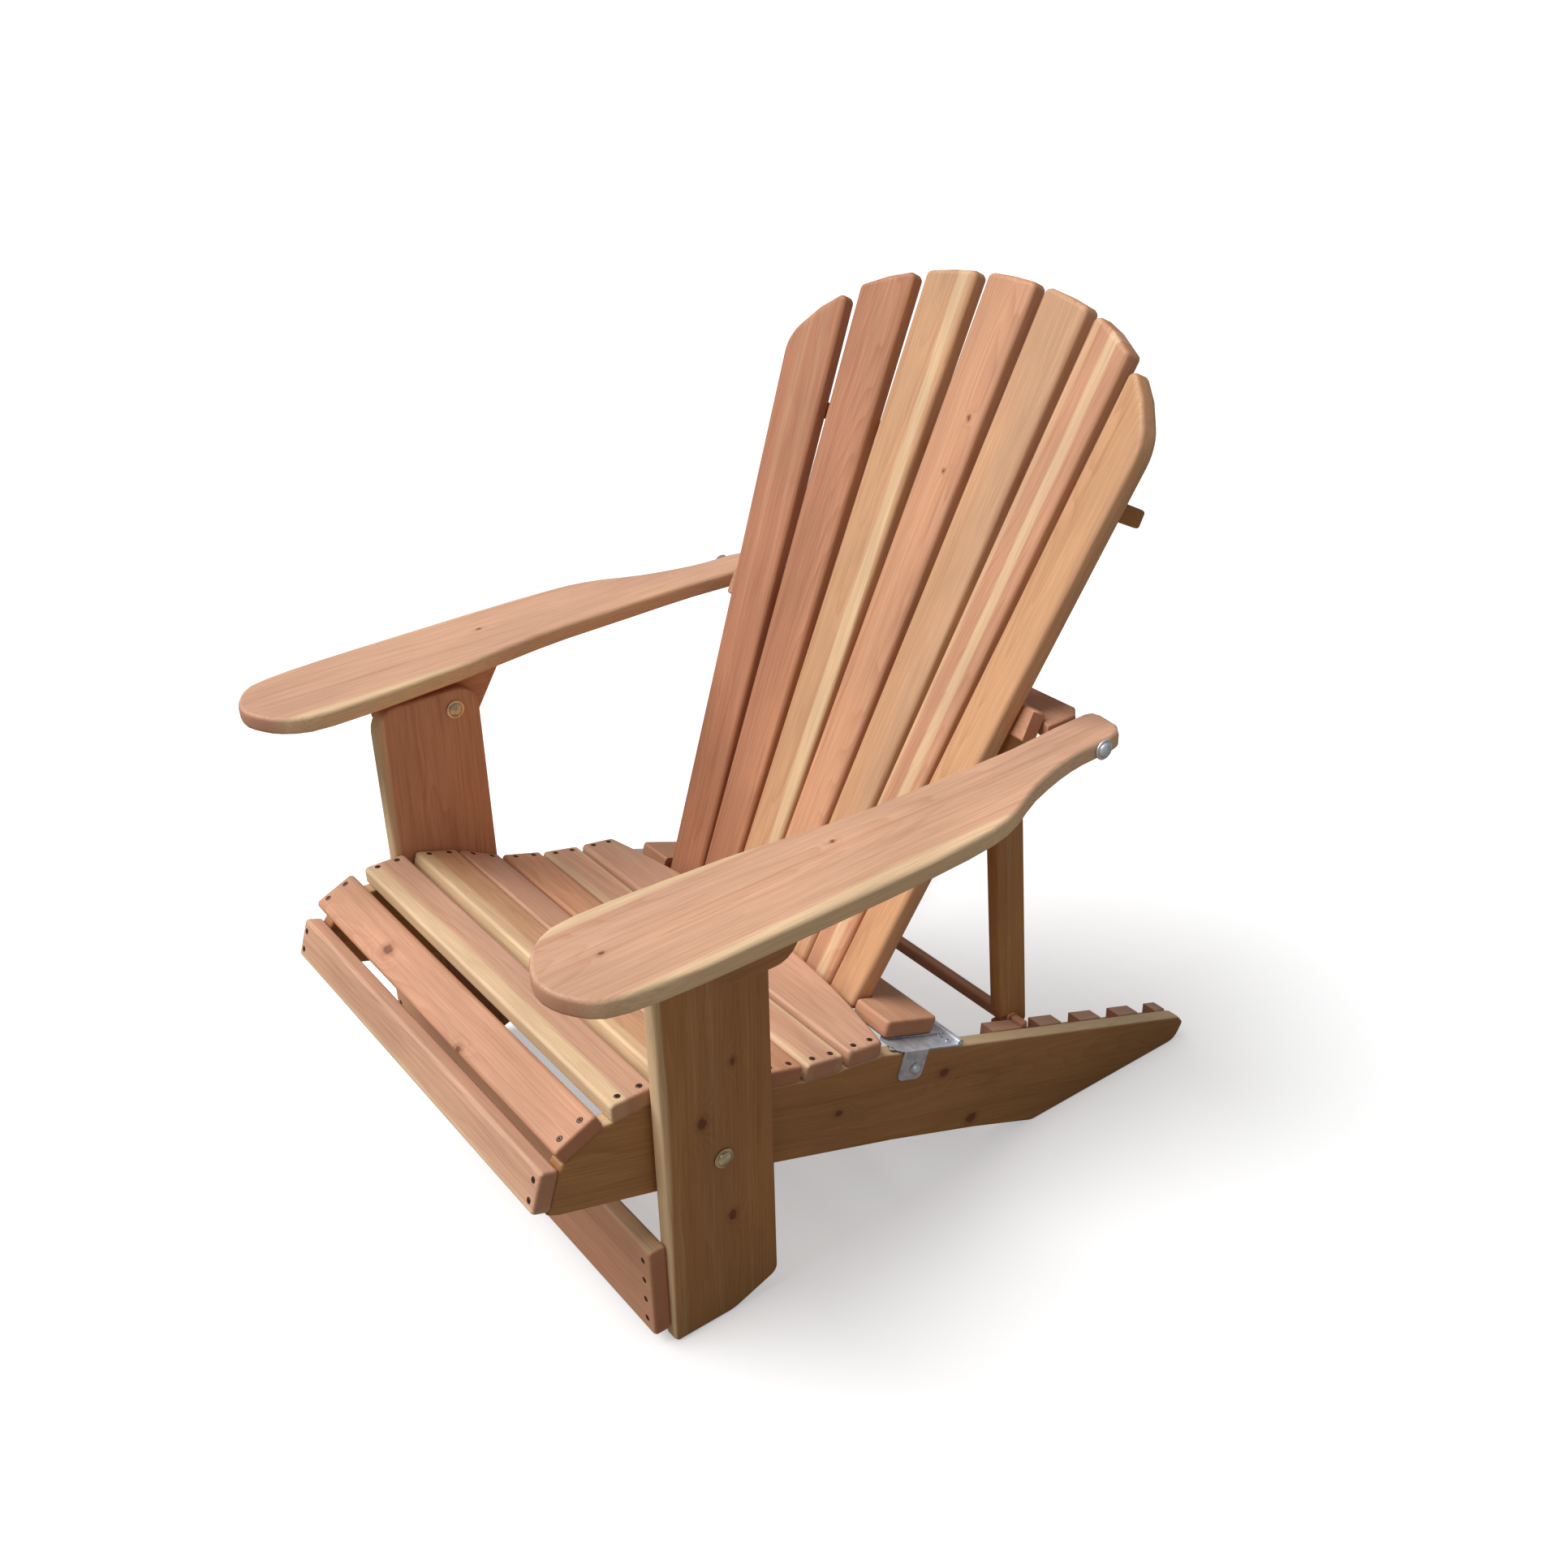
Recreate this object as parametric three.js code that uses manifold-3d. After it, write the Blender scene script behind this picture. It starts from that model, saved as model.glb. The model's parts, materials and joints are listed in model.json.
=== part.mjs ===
// Reclining adirondack chair in cedar boards, modelled piece by piece.
// Millimetres, +Z up. The sitter faces -Y and has the +X side on the left hand.
// Side-view positions are (y, z) pairs measured from a point on the ground behind the backrest;
// the finished chair is moved at the end so that the origin is under the middle of its box.
import * as THREE from 'three';
import { mergeVertices } from 'three/addons/utils/BufferGeometryUtils.js';
import Module from 'manifold-3d';

const wasm = await Module();
wasm.setup();

// ---------------------------------------------------------------- driving dimensions
const GAP = 0.3; // between pieces that touch
const BOARD = 22; // thickness of every board
const EASE = 5; // rounding of the boards' edges
const SEAT_WIDTH = 580; // length of the seat slats
const SLAT_OVERHANG = 2; // seat slats past the stringers' outer faces
const LEG_SPACER = 3; // stringer to leg
const LEG_WIDTH = 140;
const LEG_FRONT = -631;
const LEG_TOP_GAP = 7; // leg top to arm underside at the leg's front edge
const LEG_CORNER = 32;
const STRETCHER_BOTTOM = 18;
const STRETCHER_HEIGHT = 121;
const STRETCHER_OVERHANG = 7; // stretcher ends short of the legs' outer faces
const ARM_HEIGHT = 569; // top of the arms at ARM_STATION
const ARM_STATION = -450;
const ARM_SLOPE = 0.024; // the arms rise a little towards the rear
const ARM_BLOCK_THICKNESS = 38;
const ARM_BLOCK_FRONT = -612;
const RACK_THICKNESS = 22;
const RACK_DEPTH = 42;
const NOTCH_DEPTH = 14;
const NOTCH_WIDTH = 34;
const NOTCH_PITCH = 79;
const NOTCH_COUNT = 4;
const STRUT_GAP = 3.7; // rack to strut
const PROP_BAR_DEPTH = 14;
const PROP_BAR_HEIGHT = 16;
const PROP_BAR_END_GAP = 0.7; // the bar's ends stop short of the racks, where the linkage is opened
const CROSSBAR_END_GAP = 4.5; // arm's inner edge to crossbar end
const CROSSBAR_DEPTH = 17; // at the middle of its curve
const CROSSBAR_TRIM = 14; // cut rear corners
const BACK_LEAN = THREE.MathUtils.degToRad(26.8);
const DISH_RADIUS = 1110; // the back slats' fronts lie on a shallow hollow cylinder
const BACK_FOOT = -190; // slats' lower ends, along the back from BACK_ORIGIN
const BACK_HEAD = 672; // top of the arch on the centre line
const BACK_SLATS = 7;
const SLAT_FOOT_WIDTH = 54;
const SLAT_HEAD_WIDTH = 79.5;
const SLAT_FOOT_GAP = 2.2;
const SLAT_HEAD_GAP = 17;
const SHOULDER_RADIUS = 58; // outer corners of the arch
const TOP_RAIL = { foot: 445, height: 21, depth: 28, half: 303 };
const MIDDLE_RAIL = { height: 38, depth: 16, half: 286 }; // stands level with the crossbar
const MIDDLE_RAIL_DROP = 2; // its foot under the crossbar's
const BOTTOM_RAIL_WIDTH = 81;
const BOTTOM_RAIL_INSET = 4; // rail ends inside the stringers' inner faces
const RAIL_CLEARANCE = 2.5; // crossbar behind the middle rail
const PIVOT_AHEAD = 14.8; // prop pivot ahead of the middle rail's back
const PLATE = 2; // hinge plate thickness
const HINGE_LENGTH = 97;
const PIN_RADIUS = 2;
const PIN_CLEARANCE = 0.1;
const BOLT_RADIUS = 4;
const BOLT_CLEARANCE = 0.4;
const WASHER_RADIUS = 12;
const WASHER = 2;
const ROUND = 16; // sides of a bolt, pin or bored hole

// ---------------------------------------------------------------- side-view layout
const APRON_FOOT = [-772.7, 249.6]; // lower front edge
const APRON_TILT = THREE.MathUtils.degToRad(71.6);
const APRON_WIDTH = 49.5;
// Each seat slat: upper front edge (y, z), tilt in degrees and width.
const SEAT_SLAT_ROWS = [
  [-741, 313, 24.4, 55],
  [-674, 337.5, 0, 54],
  [-605, 334.6, -16.8, 58],
  [-545.5, 315.5, -27.6, 61],
  [-486.5, 285.3, -16.5, 56.5],
  [-427.4, 267, -11.5, 53],
  [-368.7, 256.4, -8.5, 52],
];
const REAR_SLAT_MIDDLE = 87.1; // width of the rear seat slat at the centre plane
const TAIL_START = [-317, 226]; // the stringer's top behind the seat falls straight from here
const TAIL_SLOPE = THREE.MathUtils.degToRad(19.9);
const BACK_ORIGIN = [-190.7, 387.8]; // where the back slats' dimensions start
const HINGE_STATION = -201; // y of the backrest's hinge pins
const HINGE_RISE = 4.6; // pin centre over the stringer's tail
const LEG_PIVOT = [-558.4, 225];
const ARM_PIVOT = [-526, 509];
const HINGE_BOLT = [-272.8, 187.6];
const PROP_BAR = [-68, 134];
const FIRST_TOOTH = -41.4; // y of the first tooth's steep front wall

// ---------------------------------------------------------------- positions across the chair
const STRINGER_OUTER = SEAT_WIDTH / 2 - SLAT_OVERHANG;
const STRINGER_INNER = STRINGER_OUTER - BOARD;
const LEG_INNER = STRINGER_OUTER + LEG_SPACER;
const LEG_OUTER = LEG_INNER + BOARD;
const BLOCK_INNER = LEG_OUTER + GAP;
const BLOCK_OUTER = BLOCK_INNER + ARM_BLOCK_THICKNESS;
const RACK_OUTER = STRINGER_INNER - GAP;
const RACK_INNER = RACK_OUTER - RACK_THICKNESS;
const STRUT_OUTER = RACK_INNER - STRUT_GAP;
const STRUT_INNER = STRUT_OUTER - BOARD;
const ARM_REAR_INNER = LEG_OUTER - 12.5; // arm's inner edge at the prop pivot
const ARM_REAR_OUTER = LEG_OUTER + 45.5;
const CROSSBAR_HALF = ARM_REAR_INNER - CROSSBAR_END_GAP;

// ---------------------------------------------------------------- materials
const CEDAR = [0xd9a988, 0xdfb290, 0xcf9a78, 0xe2b98f];
const STEEL = 0xb9bcc0;

function wood(tone) {
  return new THREE.MeshStandardMaterial({ color: CEDAR[tone % CEDAR.length], roughness: 0.62, metalness: 0 });
}

function zinc() {
  return new THREE.MeshStandardMaterial({ color: STEEL, roughness: 0.35, metalness: 1 });
}

// ---------------------------------------------------------------- shape helpers
const X_AXIS = new THREE.Vector3(1, 0, 0);
const Y_AXIS = new THREE.Vector3(0, 1, 0);
const Z_AXIS = new THREE.Vector3(0, 0, 1);
const SIDEWAYS = new THREE.Matrix4().makeBasis(Y_AXIS, Z_AXIS, X_AXIS);
const SIDES = [['left', 1], ['right', -1]];

/** Closed outline through corners [a, b, radius], each rounded by its radius. */
function roundedShape(corners) {
  const shape = new THREE.Shape();
  const points = corners.map(([a, b]) => new THREE.Vector2(a, b));
  points.forEach((corner, i) => {
    const incoming = corner.clone().sub(points.at(i - 1)).normalize();
    const outgoing = points[(i + 1) % points.length].clone().sub(corner).normalize();
    const turn = Math.atan2(incoming.cross(outgoing), incoming.dot(outgoing));
    const radius = corners[i][2] ?? 0;
    const setback = radius * Math.tan(Math.abs(turn) / 2);
    const start = corner.clone().addScaledVector(incoming, -setback);
    if (i === 0) {
      shape.moveTo(start.x, start.y);
    } else {
      shape.lineTo(start.x, start.y);
    }
    if (radius > 0) {
      const inward = new THREE.Vector2(-incoming.y, incoming.x).multiplyScalar(Math.sign(turn));
      const centre = start.clone().addScaledVector(inward, radius);
      const from = Math.atan2(start.y - centre.y, start.x - centre.x);
      shape.absarc(centre.x, centre.y, radius, from, from + turn, turn < 0);
    }
  });
  shape.closePath();
  return shape;
}

/** A board cut to an outline, lying from z = 0 to its thickness, with its edges eased. */
function board(shape, thickness, ease = EASE, curveSegments = 2) {
  const geometry = new THREE.ExtrudeGeometry(shape, {
    depth: thickness - 2 * ease,
    curveSegments,
    bevelEnabled: ease > 0,
    bevelThickness: ease,
    bevelSize: ease,
    bevelOffset: -ease,
    bevelSegments: ease > 2 ? 2 : 1,
  });
  geometry.translate(0, 0, ease);
  return geometry;
}

/** A board whose outline is a side view, standing between two distances from the centre plane. */
function uprightBoard(shape, side, inner, outer, ease = EASE, curveSegments = 2) {
  const geometry = board(shape, outer - inner, ease, curveSegments);
  geometry.applyMatrix4(SIDEWAYS);
  geometry.translate(side > 0 ? inner : -outer, 0, 0);
  return geometry;
}

function toSolid(geometry) {
  const bare = geometry.clone();
  bare.deleteAttribute('normal');
  bare.deleteAttribute('uv');
  const merged = mergeVertices(bare, 1e-4);
  return new wasm.Manifold(new wasm.Mesh({
    numProp: 3,
    vertProperties: Float32Array.from(merged.attributes.position.array),
    triVerts: Uint32Array.from(merged.index.array),
  }));
}

function toGeometry(solid) {
  const mesh = solid.getMesh();
  const geometry = new THREE.BufferGeometry();
  geometry.setAttribute('position', new THREE.BufferAttribute(Float32Array.from(mesh.vertProperties), 3));
  geometry.setIndex(new THREE.BufferAttribute(Uint32Array.from(mesh.triVerts), 1));
  const faceted = geometry.toNonIndexed();
  faceted.computeVertexNormals();
  return faceted;
}

function subtract(geometry, ...cutters) {
  const solid = cutters.reduce((rest, cutter) => rest.subtract(toSolid(cutter)), toSolid(geometry));
  return toGeometry(solid);
}

function join(...pieces) {
  return toGeometry(pieces.map(toSolid).reduce((sum, piece) => sum.add(piece)));
}

/** A cylinder along X between two stations, centred on a side-view point. */
function rod(radius, from, to, [y, z], segments = ROUND) {
  const geometry = new THREE.CylinderGeometry(radius, radius, Math.abs(to - from), segments);
  geometry.rotateZ(Math.PI / 2);
  geometry.translate((from + to) / 2, y, z);
  return geometry;
}

/** A box between two corners. */
function block([x0, y0, z0], [x1, y1, z1]) {
  const geometry = new THREE.BoxGeometry(Math.abs(x1 - x0), Math.abs(y1 - y0), Math.abs(z1 - z0));
  geometry.translate((x0 + x1) / 2, (y0 + y1) / 2, (z0 + z1) / 2);
  return geometry;
}

function bore(geometry, from, to, centre, radius = BOLT_RADIUS + BOLT_CLEARANCE) {
  return subtract(geometry, rod(radius, from, to, centre));
}

function named(name, geometry, material) {
  const mesh = new THREE.Mesh(geometry, material);
  mesh.name = name;
  return mesh;
}

// ---------------------------------------------------------------- frames
const tailDirection = new THREE.Vector2(Math.cos(TAIL_SLOPE), -Math.sin(TAIL_SLOPE));
const hingeTail = HINGE_STATION - TAIL_START[0];
const TAIL_ORIGIN = [HINGE_STATION, TAIL_START[1] - hingeTail * Math.tan(TAIL_SLOPE)];

/** Height of the stringer's tail line at a station. */
function tailHeight(y) {
  return TAIL_START[1] - (y - TAIL_START[0]) * Math.tan(TAIL_SLOPE);
}

/** Group whose y runs down the stringer's tail and whose z is square to it, from the hinge station. */
function tailGroup() {
  const group = new THREE.Group();
  group.position.set(0, ...TAIL_ORIGIN);
  group.rotation.x = -TAIL_SLOPE;
  return group;
}

/** Group whose y runs up the backrest and whose z points at the sitter. */
function backGroup() {
  const group = new THREE.Group();
  group.position.set(0, ...BACK_ORIGIN);
  group.rotation.x = Math.PI / 2 - BACK_LEAN;
  return group;
}

/** Centre height of the arm boards at a station. */
function armMiddle(y) {
  return ARM_HEIGHT + (y - ARM_STATION) * ARM_SLOPE - BOARD / 2;
}

/** Station of the middle rail's rear surface at a distance from the centre plane and a height. */
function railBackAt(x, height) {
  const outer = DISH_RADIUS + BOARD + GAP + MIDDLE_RAIL.depth;
  const forward = DISH_RADIUS - Math.sqrt(outer * outer - x * x);
  return BACK_ORIGIN[0] + (height - BACK_ORIGIN[1]) * Math.tan(BACK_LEAN) - forward / Math.cos(BACK_LEAN);
}

/** Prop pivot: in the middle of the arm boards, a fixed way ahead of the middle rail's back. */
function propPivot() {
  const base = armMiddle(0);
  const station = (railBackAt(0, base) - PIVOT_AHEAD) / (1 - ARM_SLOPE * Math.tan(BACK_LEAN));
  return [station, armMiddle(station)];
}

const PROP_PIVOT = propPivot();
const CROSSBAR_TOP = PROP_PIVOT[1] + BOARD / 2;
const CROSSBAR_FOOT = CROSSBAR_TOP - BOARD;
const MIDDLE_RAIL_FOOT = (CROSSBAR_FOOT - MIDDLE_RAIL_DROP - BACK_ORIGIN[1]) / Math.cos(BACK_LEAN);
const LEG_TOP = armMiddle(LEG_FRONT) - BOARD / 2 - LEG_TOP_GAP;

// ---------------------------------------------------------------- seat frame
function slatSection(width, radius = EASE) {
  return roundedShape([[0, 0, radius], [0, -BOARD, radius], [width, -BOARD, radius], [width, 0, radius]]);
}

function crossBoard(name, [y, z], tilt, width, tone) {
  const geometry = uprightBoard(slatSection(width), 1, -SEAT_WIDTH / 2, SEAT_WIDTH / 2, 4);
  const mesh = named(name, geometry, wood(tone));
  mesh.position.set(0, y, z);
  mesh.rotation.x = tilt;
  return mesh;
}

/** Rear seat slat: its rear edge runs along the hollow of the back. */
function rearSlat(name, [y, z], tilt, tone) {
  const half = SEAT_WIDTH / 2;
  const fall = (x) => DISH_RADIUS - Math.sqrt(DISH_RADIUS ** 2 - x ** 2);
  const rear = (x) => REAR_SLAT_MIDDLE - fall(x);
  const steps = 14;
  const outline = [[-half, 0, 6], [half, 0, 6], [half, rear(half), 6]];
  for (let i = 1; i < steps; i += 1) {
    const x = half * (1 - (2 * i) / steps);
    outline.push([x, rear(x), 0]);
  }
  outline.push([-half, rear(half), 6]);
  const geometry = board(roundedShape(outline), BOARD, EASE, 3);
  geometry.translate(0, 0, -BOARD);
  const mesh = named(name, geometry, wood(tone));
  mesh.position.set(0, y, z);
  mesh.rotation.x = tilt;
  return mesh;
}

function slatUnderside([y, z, degrees, width]) {
  const tilt = THREE.MathUtils.degToRad(degrees);
  const along = new THREE.Vector2(Math.cos(tilt), Math.sin(tilt));
  const down = new THREE.Vector2(along.y, -along.x).multiplyScalar(BOARD + GAP);
  const front = new THREE.Vector2(y, z).add(down);
  return [front, front.clone().addScaledVector(along, width)];
}

function stringerShape() {
  const apronInside = new THREE.Vector2(Math.sin(APRON_TILT), -Math.cos(APRON_TILT));
  const apronBack = new THREE.Vector2(...APRON_FOOT).addScaledVector(apronInside, BOARD + GAP);
  const apronUp = new THREE.Vector2(Math.cos(APRON_TILT), Math.sin(APRON_TILT));
  const foot = apronBack.clone().addScaledVector(apronUp, -6);
  const nose = apronBack.clone().addScaledVector(apronUp, APRON_WIDTH - 4);
  const seat = SEAT_SLAT_ROWS.flatMap(slatUnderside).map((point) => [point.x, point.y]);
  const end = 206; // where the tail's straight top stops
  return roundedShape([
    [foot.x, foot.y, 0],
    [-742, 231, 8],
    [-676, 211, 0],
    [-474, 152, 0],
    [-377, 119, 0],
    [-303, 93, 0],
    [-171, 43, 0],
    [-68, 0, 30],
    [203, 0, 22],
    [217, 24, 6],
    [end, tailHeight(end), 6],
    TAIL_START,
    ...seat.reverse(),
    [nose.x, nose.y, 0],
  ]);
}

function rackShape() {
  const top = (y) => tailHeight(y);
  const floor = (y) => top(y) - NOTCH_DEPTH / Math.cos(TAIL_SLOPE);
  const bottom = (y) => top(y) - RACK_DEPTH / Math.cos(TAIL_SLOPE);
  const front = -128;
  const rear = 203;
  const clear = 4;
  const pitch = NOTCH_PITCH * Math.cos(TAIL_SLOPE);
  const levelAt = front + (bottom(front) - clear) / Math.tan(TAIL_SLOPE);
  const corners = [[front, bottom(front), 0], [levelAt, clear, 0], [rear, clear, 0], [rear, top(rear), 0]];
  for (let tooth = NOTCH_COUNT - 1; tooth >= 0; tooth -= 1) {
    const wall = FIRST_TOOTH + tooth * pitch;
    corners.push([wall, top(wall), 0], [wall, floor(wall), 0]);
    corners.push([wall - NOTCH_WIDTH + 6, floor(wall - NOTCH_WIDTH + 6), 0]);
    corners.push([wall - NOTCH_WIDTH, top(wall - NOTCH_WIDTH), 0]);
  }
  corners.push([front + 4, top(front + 4), 0]);
  return roundedShape(corners);
}

function buildSeatFrame() {
  const frame = new THREE.Group();
  frame.add(crossBoard('apron', APRON_FOOT, APRON_TILT, APRON_WIDTH, 1));
  SEAT_SLAT_ROWS.forEach(([y, z, degrees, width], i) => {
    const name = `seat_slat_${i + 1}`;
    const tilt = THREE.MathUtils.degToRad(degrees);
    const last = i === SEAT_SLAT_ROWS.length - 1;
    frame.add(last ? rearSlat(name, [y, z], tilt, i) : crossBoard(name, [y, z], tilt, width, i));
  });
  for (const [name, side] of SIDES) {
    let stringer = uprightBoard(stringerShape(), side, STRINGER_INNER, STRINGER_OUTER, 4);
    for (const centre of [LEG_PIVOT, HINGE_BOLT]) {
      stringer = bore(stringer, side * (STRINGER_INNER - 5), side * (STRINGER_OUTER + 5), centre);
    }
    frame.add(named(`stringer_${name}`, stringer, wood(0)));
    const rack = uprightBoard(rackShape(), side, RACK_INNER, RACK_OUTER, 1.5, 1);
    frame.add(named(`rack_${name}`, rack, wood(1)));
  }
  return frame;
}

// ---------------------------------------------------------------- bolts
/** Washer and domed head outside a face at x = 0, shank running back to -length. */
function boltSolid(length, headRadius = 9) {
  const dome = 5.5;
  const tip = 1;
  const profile = [[0, -length], [BOLT_RADIUS - tip, -length], [BOLT_RADIUS, -length + tip]];
  profile.push([BOLT_RADIUS, GAP]);
  profile.push([WASHER_RADIUS, GAP], [WASHER_RADIUS, GAP + WASHER], [headRadius, GAP + WASHER]);
  for (const lift of [0.4, 0.8, 1]) {
    profile.push([headRadius * Math.sqrt(1 - lift * lift * 0.98), GAP + WASHER + dome * lift]);
  }
  profile.push([0, GAP + WASHER + dome]);
  const geometry = new THREE.LatheGeometry(profile.map(([r, h]) => new THREE.Vector2(r, h)), ROUND);
  geometry.rotateZ(-Math.PI / 2);
  return geometry;
}

/** Washer and hex nut lying from x = 0 to the nut's far face, on a bolt's axis. */
function nutSolid(start) {
  const across = 7.5;
  const nut = rod(across, start - WASHER - 6, start - WASHER + 0.2, [0, 0], 6);
  const washer = rod(WASHER_RADIUS - 1, start - WASHER, start, [0, 0]);
  return [nut, washer];
}

/** Bolt with its head at the outer face, optional nut at the inner face and spacer washers between. */
function bolt(name, { side, face, length, centre, nutFace, spacers = [], towards = 1 }) {
  const pieces = [boltSolid(length)];
  if (nutFace !== undefined) {
    pieces.push(...nutSolid(-(nutFace + GAP)));
  }
  for (const [from, to] of spacers) {
    pieces.push(rod(WASHER_RADIUS - 1, -from - GAP, -to + GAP, [0, 0]));
  }
  const geometry = join(...pieces);
  if (side * towards < 0) {
    geometry.rotateZ(Math.PI);
  }
  geometry.translate(side * face, ...centre);
  return named(name, geometry, zinc());
}

// ---------------------------------------------------------------- leg frame
function buildLegFrame() {
  const frame = new THREE.Group();
  const rear = LEG_FRONT + LEG_WIDTH;
  const shape = roundedShape([
    [LEG_FRONT, 0, 6],
    [rear - 61, 0, 50],
    [rear, 22, 14],
    [rear, LEG_TOP, LEG_CORNER],
    [LEG_FRONT, LEG_TOP, LEG_CORNER],
  ]);
  for (const [name, side] of SIDES) {
    let leg = uprightBoard(shape, side, LEG_INNER, LEG_OUTER, EASE, 3);
    for (const centre of [LEG_PIVOT, ARM_PIVOT]) {
      leg = bore(leg, side * (LEG_INNER - 5), side * (LEG_OUTER + 5), centre);
    }
    frame.add(named(`leg_${name}`, leg, wood(1)));
    frame.add(bolt(`leg_pivot_bolt_${name}`, {
      side,
      face: LEG_OUTER,
      centre: LEG_PIVOT,
      length: LEG_OUTER - STRINGER_INNER + 11,
      nutFace: LEG_OUTER - STRINGER_INNER,
      spacers: [[LEG_OUTER - LEG_INNER, LEG_OUTER - STRINGER_OUTER]],
    }));
  }
  const top = STRETCHER_BOTTOM + STRETCHER_HEIGHT;
  const back = LEG_FRONT - GAP;
  const section = roundedShape([
    [back, STRETCHER_BOTTOM, EASE], [back, top, EASE],
    [back - BOARD, top, EASE], [back - BOARD, STRETCHER_BOTTOM, EASE],
  ]);
  const half = LEG_OUTER - STRETCHER_OVERHANG;
  frame.add(named('stretcher', uprightBoard(section, 1, -half, half, 4), wood(3)));
  return frame;
}

// ---------------------------------------------------------------- arm frame
/** Arm outline seen from above: across from the leg's outer face, along from the leg or the prop pivot. */
function armShape(side) {
  const byLeg = ([across, along]) => new THREE.Vector2(side * (LEG_OUTER + across), LEG_FRONT + along);
  const byPivot = ([across, along]) => new THREE.Vector2(side * (LEG_OUTER + across), PROP_PIVOT[0] + along);
  const inner = [[-12, -15], [-7, -94], [-9, -199], [-11, -298]].map(byPivot);
  const front = [
    [-21, 174], [-29, 117], [-33, 62], [-38, -9], [-37, -77], [-19, -110], [2, -126], [27, -136],
    [52, -134], [76, -122], [96, -99], [105.5, -39], [109, 71], [110, 231],
  ].map(byLeg);
  const outer = [[106, -228], [94.5, -176], [71, -127], [54, -73], [46.5, -31], [45.5, 12]].map(byPivot);
  const rearEnd = [[-13, 32], [45, 33], [30, 39], [2, 43], [-13, 44]];
  const [start, corner, cornerEnd, edge, turn] = rearEnd.map(byPivot);
  const shape = new THREE.Shape();
  shape.moveTo(start.x, start.y);
  shape.splineThru([...inner, ...front, ...outer]);
  shape.quadraticCurveTo(corner.x, corner.y, cornerEnd.x, cornerEnd.y);
  shape.lineTo(edge.x, edge.y);
  shape.quadraticCurveTo(turn.x, turn.y, start.x, start.y);
  return shape;
}

function armGeometry(side) {
  const geometry = board(armShape(side), BOARD, EASE, 2);
  geometry.translate(0, -ARM_STATION, -BOARD);
  geometry.rotateX(Math.atan(ARM_SLOPE));
  geometry.translate(0, ARM_STATION, ARM_HEIGHT);
  return bore(geometry, side * (ARM_REAR_INNER - 20), side * (ARM_REAR_OUTER + 20), PROP_PIVOT);
}

function buildArmFrame() {
  const frame = new THREE.Group();
  const underside = (y) => armMiddle(y) - BOARD / 2 - GAP - 0.1;
  const rear = ARM_PIVOT[0] + 81;
  const blockShape = roundedShape([
    [ARM_BLOCK_FRONT, underside(ARM_BLOCK_FRONT), 4],
    [ARM_BLOCK_FRONT, ARM_PIVOT[1] - 12, 20],
    [ARM_PIVOT[0] - 30, ARM_PIVOT[1] - 41, 20],
    [ARM_PIVOT[0] + 32, ARM_PIVOT[1] - 41, 30],
    [rear, underside(rear), 4],
  ]);
  for (const [name, side] of SIDES) {
    frame.add(named(`arm_${name}`, armGeometry(side), wood(0)));
    const raw = uprightBoard(blockShape, side, BLOCK_INNER, BLOCK_OUTER, 3);
    const drilled = bore(raw, side * (BLOCK_INNER - 5), side * (BLOCK_OUTER + 5), ARM_PIVOT);
    frame.add(named(`arm_block_${name}`, drilled, wood(2)));
    frame.add(bolt(`arm_pivot_bolt_${name}`, {
      side,
      face: LEG_INNER,
      towards: -1,
      centre: ARM_PIVOT,
      length: BLOCK_OUTER - LEG_INNER + 11,
      nutFace: BLOCK_OUTER - LEG_INNER,
    }));
  }
  return frame;
}

// ---------------------------------------------------------------- prop frame
function crossbarGeometry() {
  const railDepth = BOARD + GAP + MIDDLE_RAIL.depth;
  const railRise = MIDDLE_RAIL.height * Math.cos(BACK_LEAN) - railDepth * Math.sin(BACK_LEAN);
  const railTop = CROSSBAR_FOOT - MIDDLE_RAIL_DROP + railRise;
  const front = railBackAt(0, Math.min(railTop, CROSSBAR_TOP)) + RAIL_CLEARANCE;
  const end = railBackAt(CROSSBAR_HALF, CROSSBAR_TOP) + RAIL_CLEARANCE;
  const rear = front + CROSSBAR_DEPTH;
  const shape = new THREE.Shape();
  shape.moveTo(-CROSSBAR_HALF, end);
  shape.quadraticCurveTo(0, 2 * front - end, CROSSBAR_HALF, end);
  shape.lineTo(CROSSBAR_HALF, rear - CROSSBAR_TRIM);
  shape.lineTo(CROSSBAR_HALF - CROSSBAR_TRIM, rear);
  shape.lineTo(-CROSSBAR_HALF + CROSSBAR_TRIM, rear);
  shape.lineTo(-CROSSBAR_HALF, rear - CROSSBAR_TRIM);
  shape.closePath();
  let geometry = board(shape, BOARD, 4, 16);
  geometry.translate(0, 0, CROSSBAR_FOOT);
  for (const side of [1, -1]) {
    geometry = bore(geometry, side * (CROSSBAR_HALF - 45), side * (CROSSBAR_HALF + 5), PROP_PIVOT);
  }
  return geometry;
}

function strutShape() {
  const top = CROSSBAR_FOOT - GAP;
  const neck = top - 11;
  return roundedShape([
    [PROP_BAR[0] - 14, PROP_BAR[1] - 16, 6],
    [PROP_BAR[0] + 29, PROP_BAR[1] - 16, 6],
    [PROP_PIVOT[0] + 6, top - 106, 150],
    [PROP_PIVOT[0] + 27, top, 0],
    [railBackAt(STRUT_INNER, top) + RAIL_CLEARANCE, top, 0],
    [railBackAt(STRUT_INNER, neck) + RAIL_CLEARANCE, neck, 10],
    [PROP_PIVOT[0] - 41, top - 56, 40],
  ]);
}

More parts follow.
